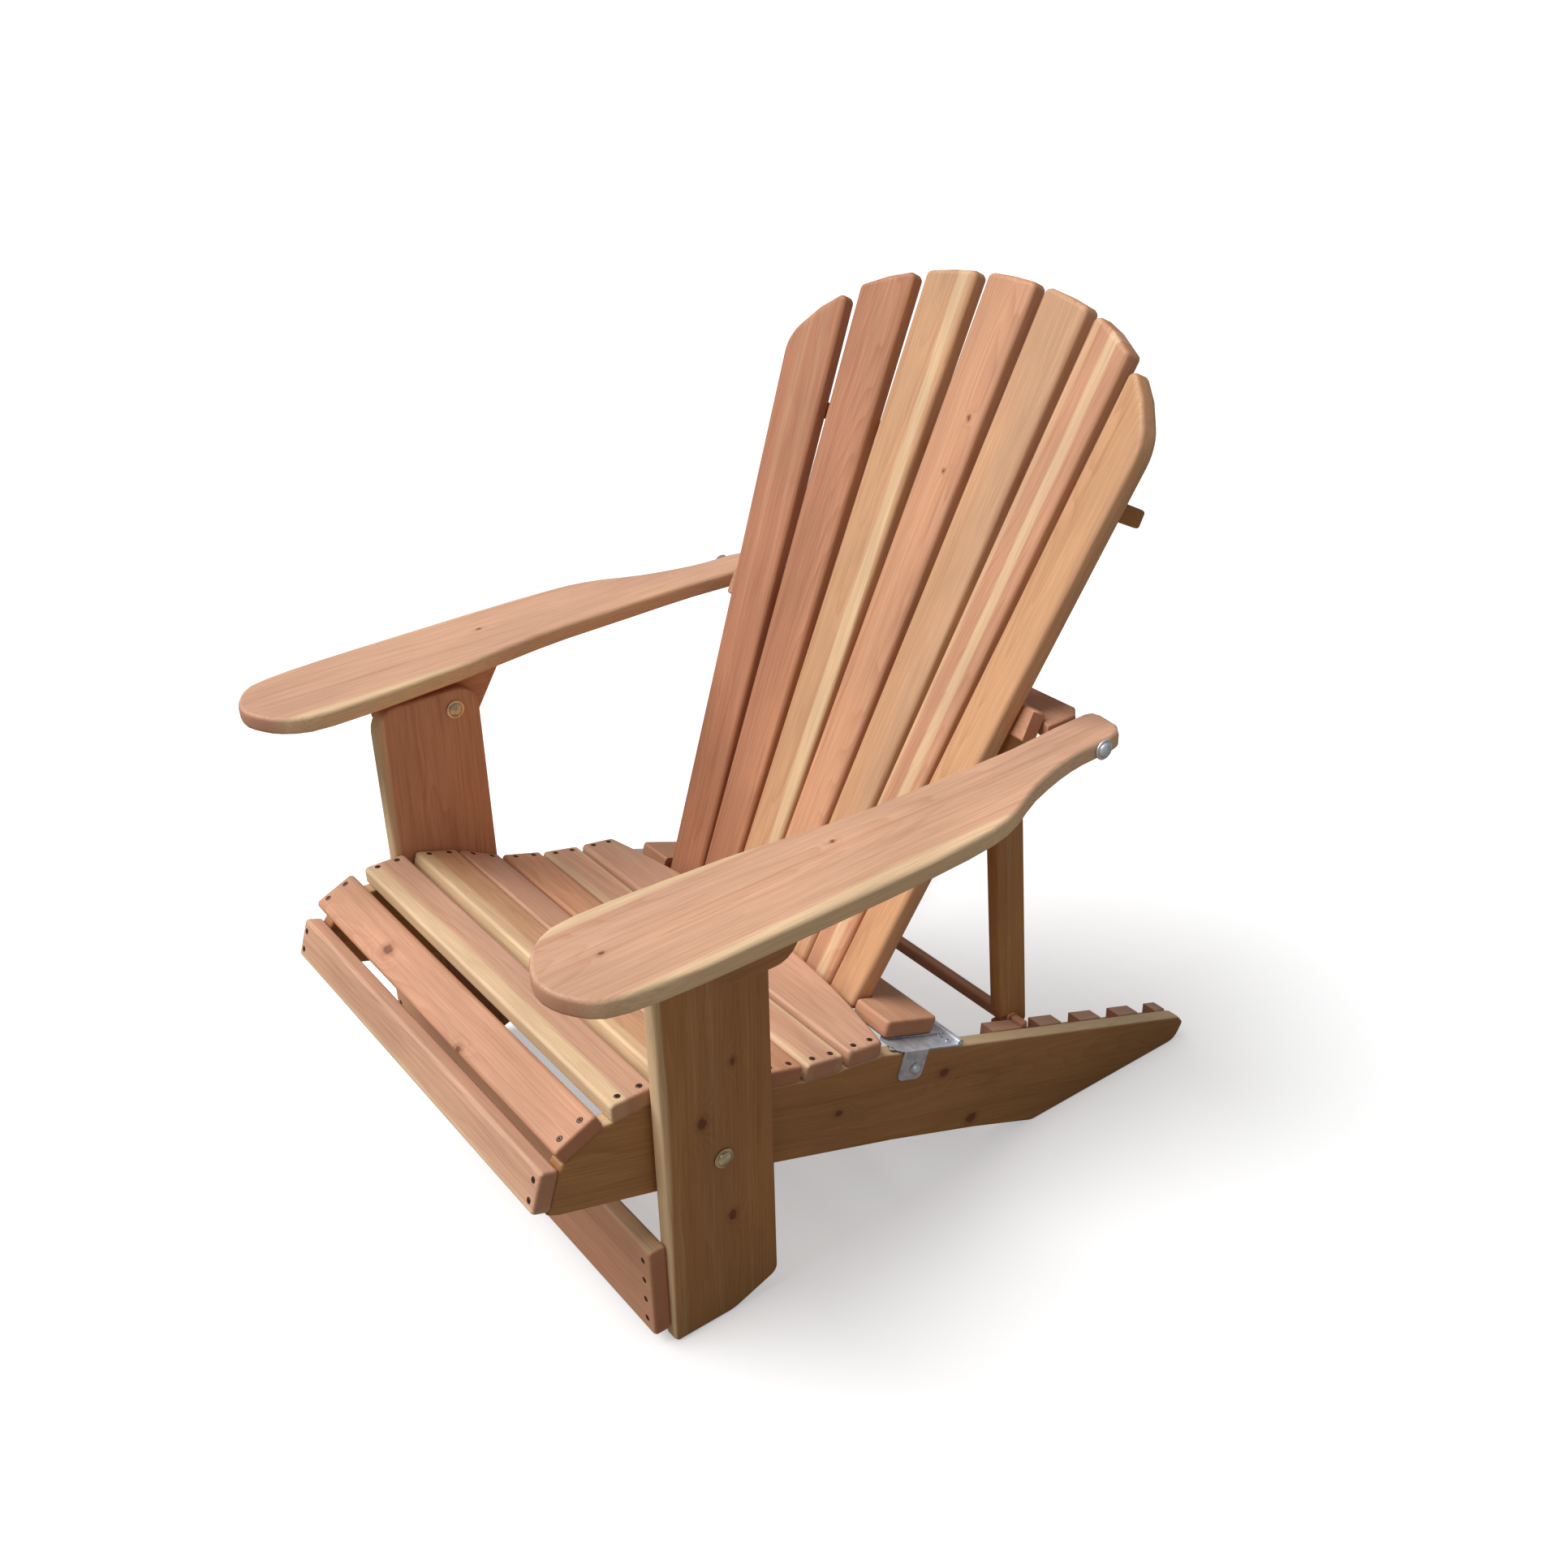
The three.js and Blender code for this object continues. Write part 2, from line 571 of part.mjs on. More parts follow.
function buildPropFrame() {
  const frame = new THREE.Group();
  const [barY, barZ] = PROP_BAR;
  const halfBar = [PROP_BAR_DEPTH / 2, PROP_BAR_HEIGHT / 2];
  frame.add(named('prop_crossbar', crossbarGeometry(), wood(3)));
  for (const [name, side] of SIDES) {
    const seat = block(
      [side * (STRUT_INNER - 5), barY - halfBar[0] - 20, barZ - halfBar[1] - GAP],
      [side * (STRUT_OUTER + 5), barY + halfBar[0] + GAP, barZ + halfBar[1] + GAP],
    );
    const strut = subtract(uprightBoard(strutShape(), side, STRUT_INNER, STRUT_OUTER, 4), seat);
    frame.add(named(`prop_strut_${name}`, strut, wood(2)));
    frame.add(bolt(`prop_pivot_bolt_${name}`, {
      side,
      face: ARM_REAR_OUTER + 1,
      centre: PROP_PIVOT,
      length: ARM_REAR_OUTER - CROSSBAR_HALF + 40,
      spacers: [[ARM_REAR_OUTER + 1.5 - ARM_REAR_INNER, ARM_REAR_OUTER + 1 - CROSSBAR_HALF]],
    }));
  }
  const half = RACK_INNER - PROP_BAR_END_GAP;
  const section = roundedShape([
    [barY - halfBar[0], barZ - halfBar[1], 3], [barY + halfBar[0], barZ - halfBar[1], 3],
    [barY + halfBar[0], barZ + halfBar[1], 3], [barY - halfBar[0], barZ + halfBar[1], 3],
  ]);
  frame.add(named('prop_bar', uprightBoard(section, 1, -half, half, 1.5), wood(1)));
  return frame;
}

// ---------------------------------------------------------------- backrest
/** Curves a flat piece, drawn in x and height with its front at z = 0, onto the dish. */
function bendToDish(geometry) {
  const position = geometry.attributes.position;
  for (let i = 0; i < position.count; i += 1) {
    const angle = Math.asin(position.getX(i) / DISH_RADIUS);
    const radius = DISH_RADIUS - position.getZ(i);
    position.setX(i, radius * Math.sin(angle));
    position.setZ(i, DISH_RADIUS - radius * Math.cos(angle));
  }
  geometry.computeVertexNormals();
  return geometry;
}

/** Height of the arched top at a distance from the centre line. */
function archHeight(x) {
  return BACK_HEAD - 0.0009 * x ** 2 - 6.7e-14 * x ** 6;
}

/** Edge of a back slat at a height; edge is -1 for its -X edge and 1 for its +X edge. */
function slatEdge(index, edge, height) {
  const share = (height - BACK_FOOT) / (BACK_HEAD - BACK_FOOT);
  const width = THREE.MathUtils.lerp(SLAT_FOOT_WIDTH, SLAT_HEAD_WIDTH, share);
  const gap = THREE.MathUtils.lerp(SLAT_FOOT_GAP, SLAT_HEAD_GAP, share);
  return (index - (BACK_SLATS - 1) / 2) * (width + gap) + edge * width / 2;
}

/** Where a slat's edge meets the arch. */
function slatShoulder(index, edge) {
  let height = BACK_HEAD;
  for (let pass = 0; pass < 8; pass += 1) {
    height = archHeight(slatEdge(index, edge, height));
  }
  return [slatEdge(index, edge, height), height];
}

function backSlatShape(index) {
  const last = BACK_SLATS - 1;
  const [leftX, leftTop] = slatShoulder(index, -1);
  const [rightX, rightTop] = slatShoulder(index, 1);
  const middle = (leftX + rightX) / 2;
  return roundedShape([
    [slatEdge(index, -1, BACK_FOOT), BACK_FOOT, 6],
    [slatEdge(index, 1, BACK_FOOT), BACK_FOOT, 6],
    [rightX, rightTop, index === last ? SHOULDER_RADIUS : 8],
    [middle, archHeight(middle), 0],
    [leftX, leftTop, index === 0 ? SHOULDER_RADIUS : 8],
  ]);
}

/** Arc band behind the slats, seen from above with y pointing rearwards. */
function dishArc(shape, radius, reach, clockwise) {
  const turn = clockwise ? 1 : -1;
  shape.absarc(0, -DISH_RADIUS, radius, Math.PI / 2 + turn * reach, Math.PI / 2 - turn * reach, clockwise);
}

const SLAT_BACK_RADIUS = DISH_RADIUS + BOARD + GAP + 0.1;

function dishRail({ foot, height, depth, half }) {
  const reach = Math.asin(half / (SLAT_BACK_RADIUS + depth));
  const shape = new THREE.Shape();
  dishArc(shape, SLAT_BACK_RADIUS, reach, false);
  dishArc(shape, SLAT_BACK_RADIUS + depth, reach, true);
  shape.closePath();
  const geometry = board(shape, height, 3, 10);
  geometry.rotateX(-Math.PI / 2);
  geometry.translate(0, foot, 0);
  return geometry;
}

const BOTTOM_RAIL_HALF = STRINGER_INNER - BOTTOM_RAIL_INSET;
const BOTTOM_RAIL_REAR = -21;

/** Bottom rail in the tail's frame, hollowed in front where the slats' feet lie against it. */
function bottomRailGeometry() {
  const front = BOTTOM_RAIL_REAR - BOTTOM_RAIL_WIDTH;
  const half = BOTTOM_RAIL_HALF;
  const rail = board(roundedShape([
    [-half, front, 6], [half, front, 6], [half, BOTTOM_RAIL_REAR, 6], [-half, BOTTOM_RAIL_REAR, 6],
  ]), BOARD, 4);
  rail.translate(0, 0, HINGE_RISE);
  const room = 2;
  const reach = slatEdge(BACK_SLATS - 1, 1, BACK_FOOT + 2 * BOARD) + room;
  const ahead = 90;
  const hollow = new THREE.Shape();
  dishArc(hollow, SLAT_BACK_RADIUS, Math.asin(reach / SLAT_BACK_RADIUS), false);
  hollow.lineTo(-reach, -ahead);
  hollow.lineTo(reach, -ahead);
  hollow.closePath();
  const cutter = new THREE.ExtrudeGeometry(hollow, { depth: 200, curveSegments: 12, bevelEnabled: false });
  cutter.rotateX(-Math.PI / 2);
  cutter.translate(0, BACK_FOOT - 80, 0);
  const tail = tailGroup();
  const back = backGroup();
  tail.updateMatrix();
  back.updateMatrix();
  cutter.applyMatrix4(back.matrix).applyMatrix4(tail.matrix.clone().invert());
  return subtract(rail, cutter);
}

// ---------------------------------------------------------------- hinges
const BARREL_RADIUS = 4.2;
const BASE_PLATE = [HINGE_RISE - BARREL_RADIUS, HINGE_RISE - BARREL_RADIUS + PLATE];
const LEAF_PLATE = [BASE_PLATE[1] + 0.2, HINGE_RISE - 0.2];
const BASE_INNER = STRINGER_INNER - 16;
const BASE_OUTER = STRINGER_OUTER + 1;
const LEAF_LENGTH = 40; // along the rail's end
const TAB_HALF = 15;

/** Flat plate that curls into a barrel round the pin, in the tail's (y, z). */
function knuckleShape([low, high]) {
  const angleAt = (level) => Math.PI - Math.asin((level - HINGE_RISE) / BARREL_RADIUS);
  const shape = new THREE.Shape();
  shape.moveTo(-HINGE_LENGTH, low);
  shape.absarc(0, HINGE_RISE, BARREL_RADIUS, angleAt(low) - 2 * Math.PI, angleAt(high), false);
  shape.lineTo(-HINGE_LENGTH, high);
  shape.closePath();
  const hole = new THREE.Path();
  hole.absarc(0, HINGE_RISE, PIN_RADIUS + PIN_CLEARANCE, 0, 2 * Math.PI, true);
  shape.holes.push(hole);
  return shape;
}

/** A side-view point in the tail's frame. */
function inTail([y, z]) {
  const offset = new THREE.Vector2(y - TAIL_ORIGIN[0], z - TAIL_ORIGIN[1]);
  return [offset.dot(tailDirection), offset.dot(new THREE.Vector2(-tailDirection.y, tailDirection.x))];
}

function hingeBase(side) {
  const plate = uprightBoard(knuckleShape(BASE_PLATE), side, BASE_INNER, BASE_OUTER, 0, 12);
  const [boltY, boltZ] = inTail(HINGE_BOLT);
  const tabFoot = boltZ - TAB_HALF;
  const tabInner = STRINGER_OUTER + GAP;
  const tab = uprightBoard(roundedShape([
    [boltY - TAB_HALF, BASE_PLATE[1], 0], [boltY - TAB_HALF, tabFoot, 8],
    [boltY + TAB_HALF, tabFoot, 8], [boltY + TAB_HALF, BASE_PLATE[1], 0],
  ]), side, tabInner, tabInner + PLATE, 0);
  const bridge = block(
    [side * STRINGER_INNER, boltY - TAB_HALF, BASE_PLATE[0]],
    [side * (tabInner + PLATE), boltY + TAB_HALF, BASE_PLATE[1]],
  );
  const leafRoom = block(
    [side * (BASE_INNER - 1), -BARREL_RADIUS - 3, BASE_PLATE[0] - 1],
    [side * (BOTTOM_RAIL_HALF + 0.2), BARREL_RADIUS + 1, HINGE_RISE + BARREL_RADIUS + 1],
  );
  const clips = [BASE_INNER, BASE_OUTER].map((x) => {
    const clip = block([-6, -6, -5], [6, 6, 5]);
    clip.rotateZ(Math.PI / 4);
    clip.translate(side * x, -HINGE_LENGTH, BASE_PLATE[0]);
    return clip;
  });
  const sheet = subtract(join(plate, tab, bridge), leafRoom, ...clips);
  return bore(sheet, side * (tabInner - 3), side * (tabInner + PLATE + 3), [boltY, boltZ]);
}

function buildHinges() {
  const seatSide = tailGroup();
  const backSide = tailGroup();
  const bolts = new THREE.Group();
  const leafOuter = BOTTOM_RAIL_HALF - 0.1;
  for (const [name, side] of SIDES) {
    seatSide.add(named(`hinge_base_${name}`, hingeBase(side), zinc()));
    const leaf = uprightBoard(knuckleShape(LEAF_PLATE), side, leafOuter - LEAF_LENGTH, leafOuter, 0, 12);
    backSide.add(named(`hinge_leaf_${name}`, leaf, zinc()));
    const ends = [side * (leafOuter - LEAF_LENGTH - 1), side * (BASE_OUTER + 1)];
    seatSide.add(named(`hinge_pin_${name}`, rod(PIN_RADIUS, ...ends, [0, HINGE_RISE]), zinc()));
    const face = STRINGER_OUTER + GAP + PLATE;
    bolts.add(bolt(`hinge_bolt_${name}`, {
      side,
      face,
      centre: HINGE_BOLT,
      length: face - STRINGER_INNER + 11,
      nutFace: face - STRINGER_INNER,
    }));
  }
  return [seatSide, backSide, bolts];
}

function buildBackrest() {
  const back = backGroup();
  for (let index = 0; index < BACK_SLATS; index += 1) {
    const slat = board(backSlatShape(index), BOARD, EASE, 3);
    slat.translate(0, 0, -BOARD);
    back.add(named(`back_slat_${index + 1}`, bendToDish(slat), wood(index)));
  }
  back.add(named('back_rail_top', dishRail(TOP_RAIL), wood(2)));
  back.add(named('back_rail_middle', dishRail({ ...MIDDLE_RAIL, foot: MIDDLE_RAIL_FOOT }), wood(0)));
  const tail = tailGroup();
  tail.add(named('back_rail_bottom', bottomRailGeometry(), wood(1)));
  return [back, tail];
}

// ---------------------------------------------------------------- chair
const assembly = new THREE.Group();
assembly.add(buildSeatFrame(), buildLegFrame(), buildArmFrame(), buildPropFrame());
assembly.add(...buildBackrest(), ...buildHinges());
assembly.updateMatrixWorld(true);

const bounds = new THREE.Box3().setFromObject(assembly, true);
const middle = bounds.getCenter(new THREE.Vector3());
assembly.position.set(-middle.x, -middle.y, -bounds.min.z);

const chair = new THREE.Group();
chair.name = 'reclining_adirondack_chair';
chair.add(assembly);

export default chair;
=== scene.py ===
"""Looks of a reclining cedar adirondack chair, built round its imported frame.

Every board is a finished copy of its frame node with softened edges and a cedar finish of its own.
The bolts are turned, the screws are set out by Geometry Nodes, and the stage is a pale studio floor.
Lengths are in metres. The sitter faces -Y, and the left hand is at +X.
"""

from __future__ import annotations

import json
import logging
import math
from collections.abc import Sequence
from dataclasses import dataclass, field
from enum import Enum

import bmesh
import bpy
import numpy as np
from mathutils import Matrix, Vector

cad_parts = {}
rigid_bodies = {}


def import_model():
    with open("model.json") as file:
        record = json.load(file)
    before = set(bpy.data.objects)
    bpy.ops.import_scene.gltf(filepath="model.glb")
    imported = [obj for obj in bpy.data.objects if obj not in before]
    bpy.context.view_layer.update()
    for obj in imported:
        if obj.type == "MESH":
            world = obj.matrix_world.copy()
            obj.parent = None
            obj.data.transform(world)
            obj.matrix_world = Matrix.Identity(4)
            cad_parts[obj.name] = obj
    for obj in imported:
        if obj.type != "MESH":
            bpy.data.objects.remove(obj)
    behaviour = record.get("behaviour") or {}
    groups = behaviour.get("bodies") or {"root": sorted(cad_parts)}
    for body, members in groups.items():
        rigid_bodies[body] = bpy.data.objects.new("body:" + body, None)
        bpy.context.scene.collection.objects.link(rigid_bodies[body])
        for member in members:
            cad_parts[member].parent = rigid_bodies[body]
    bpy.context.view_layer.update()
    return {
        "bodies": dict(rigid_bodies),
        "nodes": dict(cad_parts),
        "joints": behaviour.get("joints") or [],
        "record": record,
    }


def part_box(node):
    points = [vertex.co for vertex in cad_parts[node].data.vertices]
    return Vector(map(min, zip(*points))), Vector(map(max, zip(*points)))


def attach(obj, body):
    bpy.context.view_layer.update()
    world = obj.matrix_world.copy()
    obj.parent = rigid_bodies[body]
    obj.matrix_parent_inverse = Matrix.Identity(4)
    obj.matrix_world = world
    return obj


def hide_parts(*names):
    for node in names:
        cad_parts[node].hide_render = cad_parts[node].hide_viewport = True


log = logging.getLogger("adirondack_chair")
MM = 0.001
RGB = tuple[float, float, float]
Socket = bpy.types.NodeSocket
SIDES = (("left", 1.0), ("right", -1.0))


# ---------------------------------------------------------------- shader graphs
class Graph:
    """Short ways to add and join shader nodes in one tree."""

    def __init__(self, tree: bpy.types.NodeTree) -> None:
        """Keep the tree that the nodes go into.

        Args:
            tree: the shader or geometry tree to write.
        """
        self.tree = tree

    def add(self, kind: str, **settings: object) -> bpy.types.Node:
        """Add a node and set its properties.

        Args:
            kind: the node's type name.
            settings: properties to set on it.

        Returns:
            The new node.
        """
        node = self.tree.nodes.new(kind)
        for name, value in settings.items():
            setattr(node, name, value)
        return node

    def feed(self, socket: Socket, value: object) -> None:
        """Link a socket into an input, or set the input's own value.

        Args:
            socket: the input to fill.
            value: another node's output, or a plain value.
        """
        if isinstance(value, Socket):
            self.tree.links.new(value, socket)
        elif value is not None:
            socket.default_value = value

    def fill(self, kind: str, inputs: dict[str | int, object], **settings: object) -> bpy.types.Node:
        """Add a node and fill its inputs.

        Args:
            kind: the node's type name.
            inputs: sockets or plain values by the input's name or number.
            settings: properties to set on it.

        Returns:
            The new node.
        """
        node = self.add(kind, **settings)
        for name, value in inputs.items():
            self.feed(node.inputs[name], value)
        return node

    def math(self, operation: str, *values: object) -> Socket:
        """Return the result of a Math node.

        Args:
            operation: the operation's name.
            values: one to three sockets or numbers.

        Returns:
            The result's socket.
        """
        node = self.add("ShaderNodeMath", operation=operation)
        for socket, value in zip(node.inputs, values):
            self.feed(socket, value)
        return node.outputs[0]

    def times(self, first: object, second: object) -> Socket:
        """Return the product of two values."""
        return self.math("MULTIPLY", first, second)

    def plus(self, first: object, second: object) -> Socket:
        """Return the sum of two values."""
        return self.math("ADD", first, second)

    def vector(self, operation: str, *values: object) -> Socket:
        """Return the result of a Vector Math node.

        Args:
            operation: the operation's name.
            values: sockets or vectors.

        Returns:
            The result's socket.
        """
        node = self.add("ShaderNodeVectorMath", operation=operation)
        for socket, value in zip(node.inputs, values):
            self.feed(socket, value)
        return node.outputs["Vector"]

    def noise(self, place: object, scale: float, detail: float = 2.0, rough: float = 0.5) -> Socket:
        """Return smooth noise from 0 to 1.

        Args:
            place: where to read it.
            scale: the noise's scale.
            detail: how many finer layers it has.
            rough: how strong those layers are.

        Returns:
            The noise's socket.
        """
        inputs = {"Vector": place, "Scale": scale, "Detail": detail, "Roughness": rough}
        return self.fill("ShaderNodeTexNoise", inputs).outputs[0]

    def split(self, place: object) -> list[Socket]:
        """Return a vector's three parts."""
        return list(self.fill("ShaderNodeSeparateXYZ", {0: place}).outputs)

    def step(self, value: object, low: object, high: object, to: Sequence[float] = (0, 1)) -> Socket:
        """Return a smooth step of a value between two edges.

        Args:
            value: the value to grade.
            low: where the step starts.
            high: where it ends.
            to: the results at the two edges.

        Returns:
            The graded value's socket.
        """
        inputs = {"Value": value, "From Min": low, "From Max": high, "To Min": to[0], "To Max": to[1]}
        return self.fill("ShaderNodeMapRange", inputs, interpolation_type="SMOOTHSTEP").outputs[0]

    def blend(self, share: object, first: object, second: object, mode: str = "MIX") -> Socket:
        """Return two colours mixed.

        Args:
            share: how much of the second colour.
            first: the colour under it.
            second: the colour over it.
            mode: how they blend.

        Returns:
            The colour's socket.
        """
        node = self.add("ShaderNodeMix", data_type="RGBA", blend_type=mode)
        self.feed(node.inputs[0], share)
        self.feed(node.inputs[6], first if isinstance(first, Socket) else (*first, 1.0))
        self.feed(node.inputs[7], second if isinstance(second, Socket) else (*second, 1.0))
        return node.outputs[2]


# ---------------------------------------------------------------- finishes
class CedarTone(Enum):
    """Colours of a board: earlywood, latewood and the warm streaks between them."""

    BLUSH = ((0.620, 0.355, 0.240), (0.455, 0.205, 0.115), (0.680, 0.390, 0.250))
    ROSE = ((0.590, 0.300, 0.180), (0.420, 0.165, 0.085), (0.660, 0.340, 0.190))
    RUSSET = ((0.480, 0.205, 0.110), (0.330, 0.110, 0.050), (0.560, 0.255, 0.135))
    TAN = ((0.620, 0.355, 0.205), (0.450, 0.210, 0.100), (0.660, 0.360, 0.185))
    HONEY = ((0.600, 0.330, 0.175), (0.440, 0.190, 0.085), (0.660, 0.370, 0.195))
    # This tone is partly a darker cedar and partly painted shade: it darkens boards whose seen faces turn
    # away from the sun, such as the near leg and the stringers.
    UMBER_WITH_SHADE = ((0.440, 0.215, 0.080), (0.290, 0.115, 0.036), (0.500, 0.240, 0.082))


SAPWOOD: RGB = (0.800, 0.590, 0.350)
KNOT_HEART: RGB = (0.150, 0.050, 0.022)
KNOT_RIM: RGB = (0.330, 0.120, 0.050)
KNOT_STRETCH = 0.72
KNOT_REACH = 3.2
KNOT_BEND = 2.4
PITH_DEPTH = 0.060
RINGS_PER_METRE = 330.0


@dataclass(frozen=True)
class Stripe:
    """A pale band of sapwood along a board.

    Attributes:
        centre: how far across the board its middle lies.
        half: half its width.
        soft: width of its fading edges.
        strength: how pale it is, from 0 to 1.
    """

    centre: float
    half: float
    soft: float = 0.006
    strength: float = 0.9


@dataclass(frozen=True)
class Knot:
    """A knot on a board.

    Attributes:
        along: place along the board from its middle.
        across: place across the board from its middle.
        radius: size of its dark heart.
    """

    along: float
    across: float
    radius: float = 0.004


NO_STRIPE = Stripe(0.0, 0.0, 0.001, 0.0)
NO_KNOT = Knot(9.0, 9.0, 0.001)


def cedar_group() -> bpy.types.ShaderNodeTree:
    """Make the node group that draws planed cedar in a board's own coordinates.

    Returns:
        The group, with named inputs for the board's place, tone, sapwood, knots and painted edge highlights.
    """
    tree = bpy.data.node_groups.new("planed_cedar", "ShaderNodeTree")
    sockets = [("Place", "NodeSocketVector"), ("Facing", "NodeSocketVector"), ("Seed", "NodeSocketFloat")]
    sockets += [(name, "NodeSocketColor") for name in ("Earlywood", "Latewood", "Streak")]
    sockets += [(f"{word} {part}", "NodeSocketFloat") for word in ("First Stripe", "Second Stripe")
                for part in ("Centre", "Half", "Soft", "Strength")]
    sockets += [(f"Knot {number}", "NodeSocketVector") for number in (1, 2, 3)]
    sockets += [("Upper Edge Highlight", "NodeSocketFloat"), ("Lower Edge Highlight", "NodeSocketFloat")]
    for name, kind in sockets:
        tree.interface.new_socket(name, in_out="INPUT", socket_type=kind)
    results = (("Colour", "NodeSocketColor"), ("Relief", "NodeSocketFloat"), ("Gloss", "NodeSocketFloat"))
    for name, kind in results:
        tree.interface.new_socket(name, in_out="OUTPUT", socket_type=kind)
    g = Graph(tree)
    given = g.add("NodeGroupInput").outputs
    along, across, deep = g.split(given["Place"])
    factors = enumerate((1.71, 2.93, 0.77))
    shift = g.fill("ShaderNodeCombineXYZ", {i: g.times(given["Seed"], factor) for i, factor in factors})
    place = g.vector("ADD", given["Place"], shift.outputs[0])

    # Knots: a dark heart, a rim, and grain that bends round them.
    heart: object = 0.0
    rim: object = 0.0
    bend: object = 0.0
    wobble = g.times(g.math("SUBTRACT", g.noise(place, 160.0, 2.0), 0.5), 0.006)
    for number in (1, 2, 3):
        knot_along, knot_across, radius = g.split(given[f"Knot {number}"])
        off_along = g.times(g.math("SUBTRACT", along, knot_along), KNOT_STRETCH)
        off_across = g.math("SUBTRACT", across, knot_across)
        gap = g.math("SQRT", g.plus(g.math("POWER", off_along, 2.0), g.math("POWER", off_across, 2.0)))
        gap = g.plus(gap, wobble)
        ratio = g.math("DIVIDE", gap, radius)
        heart = g.math("MAXIMUM", heart, g.step(ratio, 0.75, 1.25, (1, 0)))
        rim = g.math("MAXIMUM", rim, g.step(ratio, 1.0, 2.6, (1, 0)))
        squared = g.math("POWER", g.math("DIVIDE", ratio, KNOT_REACH), 2.0)
        near = g.math("EXPONENT", g.times(squared, -1.0))
        bend = g.plus(bend, g.times(g.times(near, radius), KNOT_BEND))

    # Growth rings of a flat-sawn board: long arches that waver along the grain.
    drift = g.noise(g.vector("MULTIPLY", place, (1.3, 9.0, 9.0)), 1.0, 3.0)
    drift = g.times(g.math("SUBTRACT", drift, 0.5), 0.055)
    lean = g.times(along, g.times(g.math("SINE", given["Seed"]), 0.030))
    pith = g.times(g.math("SINE", g.times(given["Seed"], 2.3)), 0.035)
    side = g.plus(across, pith)
    depth = g.plus(deep, PITH_DEPTH)
    reach = g.math("SQRT", g.plus(g.math("POWER", side, 2.0), g.math("POWER", depth, 2.0)))
    reach = g.plus(g.plus(reach, lean), g.plus(drift, bend))
    rings = g.math("FRACT", g.times(reach, RINGS_PER_METRE))
    late = g.times(g.math("POWER", rings, 2.4), g.step(rings, 0.9, 1.0, (1, 0)))
    year = g.noise(g.vector("MULTIPLY", place, (0.5, 55.0, 55.0)), 1.0, 1.0)
    late = g.times(late, g.step(year, 0.30, 0.72, (0.15, 1.0)))

    # Streaks and fibres along the grain.
    streak = g.noise(g.vector("MULTIPLY", place, (1.1, 62.0, 62.0)), 1.0, 4.0, 0.6)
    broad = g.noise(g.vector("MULTIPLY", place, (0.8, 13.0, 13.0)), 1.0, 2.0)
    fibre = g.noise(g.vector("MULTIPLY", place, (14.0, 700.0, 700.0)), 1.0, 3.0)
    patch = g.noise(g.vector("MULTIPLY", place, (5.0, 16.0, 16.0)), 1.0, 3.0)

    colour = g.blend(g.step(broad, 0.30, 0.70), given["Earlywood"], given["Streak"])
    colour = g.blend(g.times(late, 0.46), colour, given["Latewood"])
    colour = g.blend(g.step(streak, 0.52, 0.80, (0.0, 0.55)), colour, given["Latewood"])
    colour = g.blend(g.step(streak, 0.22, 0.46, (0.22, 0.0)), colour, SAPWOOD)

    waver = g.times(g.math("SUBTRACT", g.noise(
        g.vector("MULTIPLY", place, (2.2, 30.0, 30.0)), 1.0, 2.0), 0.5), 0.016)
    edge = g.plus(across, waver)
    for word in ("First Stripe", "Second Stripe"):
        off = g.math("ABSOLUTE", g.math("SUBTRACT", edge, given[f"{word} Centre"]))
        outer = g.plus(given[f"{word} Half"], given[f"{word} Soft"])
        band = g.step(off, given[f"{word} Half"], outer, (1, 0))
        pale = g.blend(g.times(late, 0.30), SAPWOOD, given["Streak"])
        share = g.times(band, given[f"{word} Strength"])
        share = g.times(share, g.step(streak, 0.30, 0.75, (1.0, 0.55)))
        colour = g.blend(share, colour, pale)
    facing_along, facing_across, _ = g.split(given["Facing"])
    # Painted highlight: faces turned towards a board's long edges are lightened towards sapwood colour. This
    # stands for light caught on the eased edges and the lit tops.
    for name, sign in (("Upper Edge Highlight", 1.0), ("Lower Edge Highlight", -1.0)):
        turned = g.step(g.times(facing_across, sign), 0.45, 0.85)
        colour = g.blend(g.times(turned, given[name]), colour, SAPWOOD)
    colour = g.blend(g.times(rim, 0.55), colour, KNOT_RIM)
    colour = g.blend(g.times(heart, 0.78), colour, KNOT_HEART)
    shade = g.step(fibre, 0.25, 0.75, (0.86, 1.08))
    shade = g.times(shade, g.step(patch, 0.25, 0.75, (0.90, 1.08)))
    grey = g.fill("ShaderNodeCombineColor", {0: shade, 1: shade, 2: shade})
    colour = g.blend(1.0, colour, grey.outputs[0], "MULTIPLY")

    # End grain drinks more oil and looks darker.
    cut = g.step(g.math("ABSOLUTE", facing_along), 0.55, 0.9)
    colour = g.blend(g.times(cut, 0.60), colour, given["Latewood"])

    relief = g.plus(g.times(fibre, 0.35), g.times(late, 0.45))
    relief = g.math("SUBTRACT", relief, g.times(heart, 0.8))
    relief = g.times(relief, g.math("SUBTRACT", 1.0, g.times(cut, 0.92)))
    gloss = g.plus(0.50, g.times(g.plus(late, patch), 0.08))
    gloss = g.plus(gloss, g.times(cut, 0.14))
    g.fill("NodeGroupOutput", {"Colour": colour, "Relief": relief, "Gloss": gloss})
    return tree


